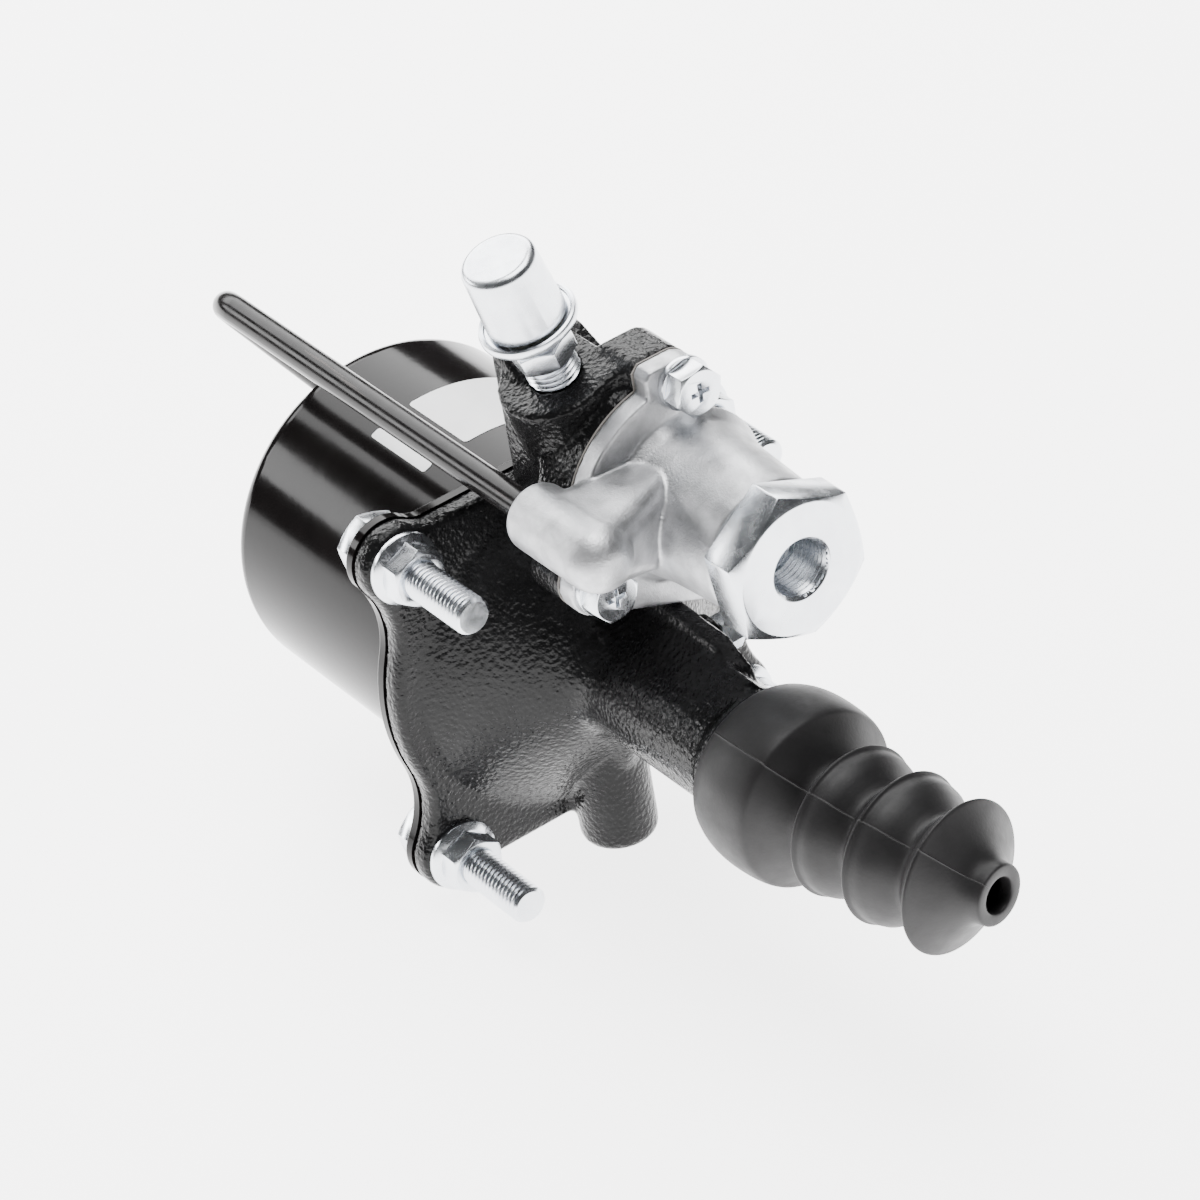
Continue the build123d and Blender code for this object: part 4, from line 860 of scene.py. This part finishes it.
class CLUTCH_OT_bolts(bpy.types.Operator):
    """Models the four threaded flange bolts"""

    bl_idname = "clutch.bolts"
    bl_label = "Flange bolts"

    def execute(self, context):
        settings = context.scene.clutch_threads
        deselect()
        rod = thread_rod("bolt_thread", THREAD_START * MM, BOLT_TIP * MM, settings.bolt_radius,
                         settings.bolt_pitch, BOLT_THREAD_DEPTH * MM)
        outer = settings.bolt_radius / MM + 0.2
        cone = turned("bolt_cone", [(-1.0, 0), (-1.0, outer), (BOLT_TIP - BOLT_TIP_CHAMFER, outer),
                                    (BOLT_TIP, BOLT_TIP_R), (BOLT_TIP, 0)])
        shape_with(rod, cone, "INTERSECT")
        smooth(rod, SHARP_ANGLE)
        under = BOLT_UNDER_HEAD - BOLT_LAP
        shank = turned("bolt_shank", [(under, 0), (under, BOLT_SHANK_R), (0.0, BOLT_SHANK_R),
                                      (BOLT_LAP, BOLT_TIP_R), (BOLT_LAP, 0)], steps=48)
        smooth(shank)
        head = hex_head("bolt_head", (BOLT_UNDER_HEAD - BOLT_HEAD) * MM, BOLT_UNDER_HEAD * MM,
                        BOLT_FLATS * MM, BOLT_HEAD_TURN)
        smooth(head)
        bolt = join([rod, shank, head], "flange_bolt_1")
        places = [(y, z) for y in (-1, 1) for z in (-1, 1)]
        bolts = [bolt] + [another(bolt, f"flange_bolt_{i}") for i in (2, 3, 4)]
        for obj, (y, z) in zip(bolts, places):
            obj.location = (0, y * BOLT_PITCH * MM, z * BOLT_PITCH * MM)
            settle(obj)
            dressed(obj, "zinc_steel", "flange_bolts")
        return {"FINISHED"}


def softened(node, name, width):
    """A copy of a CAD node with its flat faces merged and its sharp edges rounded."""
    obj = node_copy(node, name)
    edit_all(obj)
    bpy.ops.mesh.dissolve_limited(angle_limit=math.radians(FLAT_ANGLE))
    leave()
    round_edges(obj, width)
    return smooth(obj, angle=32)


class CLUTCH_OT_fittings(bpy.types.Operator):
    """Rounds the edges of the nuts, screws and washers, and cuts the plug's inlet thread"""

    bl_idname = "clutch.fittings"
    bl_label = "Nuts, screws and plug"

    def execute(self, context):
        settings = context.scene.clutch_threads
        for node, width in ROUNDED:
            dressed(softened(node, node + "_rounded", width), "zinc_steel", node)
        plug = softened("inlet_plug", "plug_threaded", PLUG_EDGE)
        depth = PLUG_THREAD_DEPTH * MM
        cutter = thread_rod("inlet_cutter", (PLUG_FRONT - PLUG_THREAD + PLUG_RUNOUT) * MM,
                            (PLUG_FRONT + 1) * MM, (PLUG_HOLE_R - PLUG_CREST_LAP) * MM + depth,
                            settings.inlet_pitch, depth)
        cutter.location = (0, VALVE[0] * MM, VALVE[1] * MM)
        settle(cutter)
        shape_with(plug, cutter, "DIFFERENCE")
        smooth(plug, angle=32)
        dressed(plug, "zinc_steel", "inlet_plug")
        return {"FINISHED"}


class CLUTCH_OT_breather(bpy.types.Operator):
    """Models the breather's threaded stem, hexagon, neck and lipped collar"""

    bl_idname = "clutch.breather"
    bl_label = "Breather"

    def execute(self, context):
        stem = thread_rod("breather_thread", THREAD_START * MM, BREATHER_THREAD_END * MM,
                          BREATHER_STEM_R * MM, BREATHER_PITCH * MM, BREATHER_THREAD_DEPTH * MM)
        smooth(stem, SHARP_ANGLE)
        root = smooth(turned("breather_root", BREATHER_ROOT, steps=48))
        low, high = BREATHER_HEX
        hexagon = smooth(hex_head("breather_hex", low * MM, high * MM, BREATHER_FLATS * MM,
                                  BREATHER_HEX_TURN))
        neck = smooth(turned("breather_neck", BREATHER_NECK, steps=96))
        body = join([stem, root, hexagon, neck], "breather_fitting")
        body.rotation_euler = (0, math.radians(-90), 0)
        settle(body)
        body.rotation_euler = (math.radians(BREATHER_TILT), 0, 0)
        body.location = [value * MM for value in BREATHER_SEAT]
        settle(body)
        dressed(body, "zinc_steel", "breather_body")
        return {"FINISHED"}


class CLUTCH_OT_labels(bpy.types.Operator):
    """Lays two blank labels on the shell"""

    bl_idname = "clutch.labels"
    bl_label = "Blank labels"

    def execute(self, context):
        for name, rear, front, first_angle, last_angle, corner in LABELS:
            wide = math.radians(first_angle - last_angle) * SHELL_R
            long = front - rear
            deselect()
            bpy.ops.mesh.primitive_plane_add(size=MM, location=(0, 0, 0))
            obj = started(name)
            obj.scale = (long, wide, 1)
            settle(obj)
            edit_all(obj)
            bpy.ops.mesh.bevel(offset=corner * MM, offset_type="OFFSET", segments=5, affect="VERTICES")
            leave()
            for step in range(1, LABEL_STRIPS):
                across = wide * (step / LABEL_STRIPS - 0.5)
                slice_through(obj, (0, across * MM, 0), (0, 1, 0))
            # Wrapped round the shell: X stays along it and Y goes round
            middle = math.radians((first_angle + last_angle) / 2)
            radius = (SHELL_R + LABEL_GAP) * MM
            for vertex in obj.data.vertices:
                angle = middle - vertex.co.y / (SHELL_R * MM)
                vertex.co = Vector((vertex.co.x + (rear + front) / 2 * MM, radius * math.cos(angle),
                                    radius * math.sin(angle)))
            finish_with(obj, "SOLIDIFY", thickness=LABEL_FILM * MM, offset=1.0)
            face_outwards(obj)
            smooth(obj)
            dressed(obj, "shell_paint", finish="label")
        return {"FINISHED"}


class CLUTCH_OT_studio(bpy.types.Operator):
    """Sets the floor, the lights and the camera"""

    bl_idname = "clutch.studio"
    bl_label = "Studio"

    def execute(self, context):
        settings = context.scene.clutch_studio
        lowest = CAD_BOX[0][2]
        deselect()
        bpy.ops.mesh.primitive_plane_add(size=FLOOR_SIZE, location=(0, 0, lowest - FLOOR_GAP))
        floor = started("studio_floor")
        settle(floor)
        finish, tree, shader, vector = material("Studio floor", Roughness=0.9, Specular_IOR_Level=0.2,
                                                Emission_Strength=settings.floor_glow)
        tint = add(tree, "ShaderNodeTexNoise", {"Scale": 3.0, "Detail": 2.0})
        link(tree, vector, tint.inputs["Vector"])
        mix = add(tree, "ShaderNodeMix", data_type="RGBA")
        link(tree, tint.outputs["Fac"], mix.inputs["Factor"])
        mix.inputs[6].default_value = rgba(settings.floor_colour)
        mix.inputs[7].default_value = rgba(settings.floor_colour, 1.02)
        link(tree, mix.outputs[2], shader.inputs["Base Color"])
        link(tree, mix.outputs[2], shader.inputs["Emission Color"])
        floor.data.materials.append(finish)

        powers = (settings.ceiling_power, settings.back_power, settings.side_power)
        for (name, place, target, size), power in zip(SOFT_BOXES, powers):
            bpy.ops.object.light_add(type="AREA", location=place)
            lamp = bpy.context.object
            lamp.name = name
            lamp.data.shape = "RECTANGLE"
            lamp.data.size, lamp.data.size_y = size
            lamp.data.energy = power
            aim = Vector(target) - Vector(place)
            lamp.rotation_euler = aim.to_track_quat("-Z", "Y").to_euler()

        world = context.scene.world or bpy.data.worlds.new("Studio world")
        context.scene.world = world
        world.use_nodes = True
        back = world.node_tree.nodes["Background"]
        back.inputs["Color"].default_value = WORLD_TINT
        back.inputs["Strength"].default_value = settings.world_light

        right = Vector(CAMERA_RIGHT)
        into = right.cross(Vector(CAMERA_DOWN)).normalized()
        down = into.cross(right).normalized()
        right.normalize()
        bpy.ops.object.camera_add(location=CAMERA_PLACE)
        camera = bpy.context.object
        camera.name = "photo_camera"
        camera.rotation_euler = Matrix((right, -down, -into)).transposed().to_euler()
        camera.data.sensor_width = SENSOR_WIDTH
        camera.data.lens = settings.focal_length
        context.scene.camera = camera
        return {"FINISHED"}


class CLUTCH_PT_panel(bpy.types.Panel):
    """Lists the settings and the steps"""

    bl_idname = "CLUTCH_PT_panel"
    bl_label = "Clutch cylinder"
    bl_space_type = "VIEW_3D"
    bl_region_type = "UI"
    bl_category = "Clutch cylinder"

    def draw(self, context):
        layout = self.layout
        for name in SETTINGS:
            group = getattr(context.scene, name)
            box = layout.box()
            for key in group.bl_rna.properties.keys():
                if key not in ("rna_type", "name"):
                    box.prop(group, key)
        for operator in OPERATORS:
            layout.operator(operator.bl_idname)


OPERATORS = (CLUTCH_OT_finishes, CLUTCH_OT_castings, CLUTCH_OT_springs, CLUTCH_OT_boot, CLUTCH_OT_bolts,
             CLUTCH_OT_fittings, CLUTCH_OT_breather, CLUTCH_OT_labels, CLUTCH_OT_studio)
SETTINGS = {"clutch_casting": CastingSettings, "clutch_threads": ThreadSettings, "clutch_boot": BootSettings,
            "clutch_studio": StudioSettings}


def register():
    """Registers the settings, the steps and the panel."""
    for group in SETTINGS.values():
        bpy.utils.register_class(group)
    for name, group in SETTINGS.items():
        setattr(bpy.types.Scene, name, bpy.props.PointerProperty(type=group))
    for operator in OPERATORS + (CLUTCH_PT_panel,):
        bpy.utils.register_class(operator)


def unregister():
    """Takes them away again."""
    for operator in reversed(OPERATORS + (CLUTCH_PT_panel,)):
        bpy.utils.unregister_class(operator)
    for name, group in SETTINGS.items():
        delattr(bpy.types.Scene, name)
        bpy.utils.unregister_class(group)


def main():
    """Runs every step."""
    register()
    for operator in OPERATORS:
        family, step = operator.bl_idname.split(".")
        getattr(getattr(bpy.ops, family), step)()
    deselect()


if __name__ == "__main__":
    main()
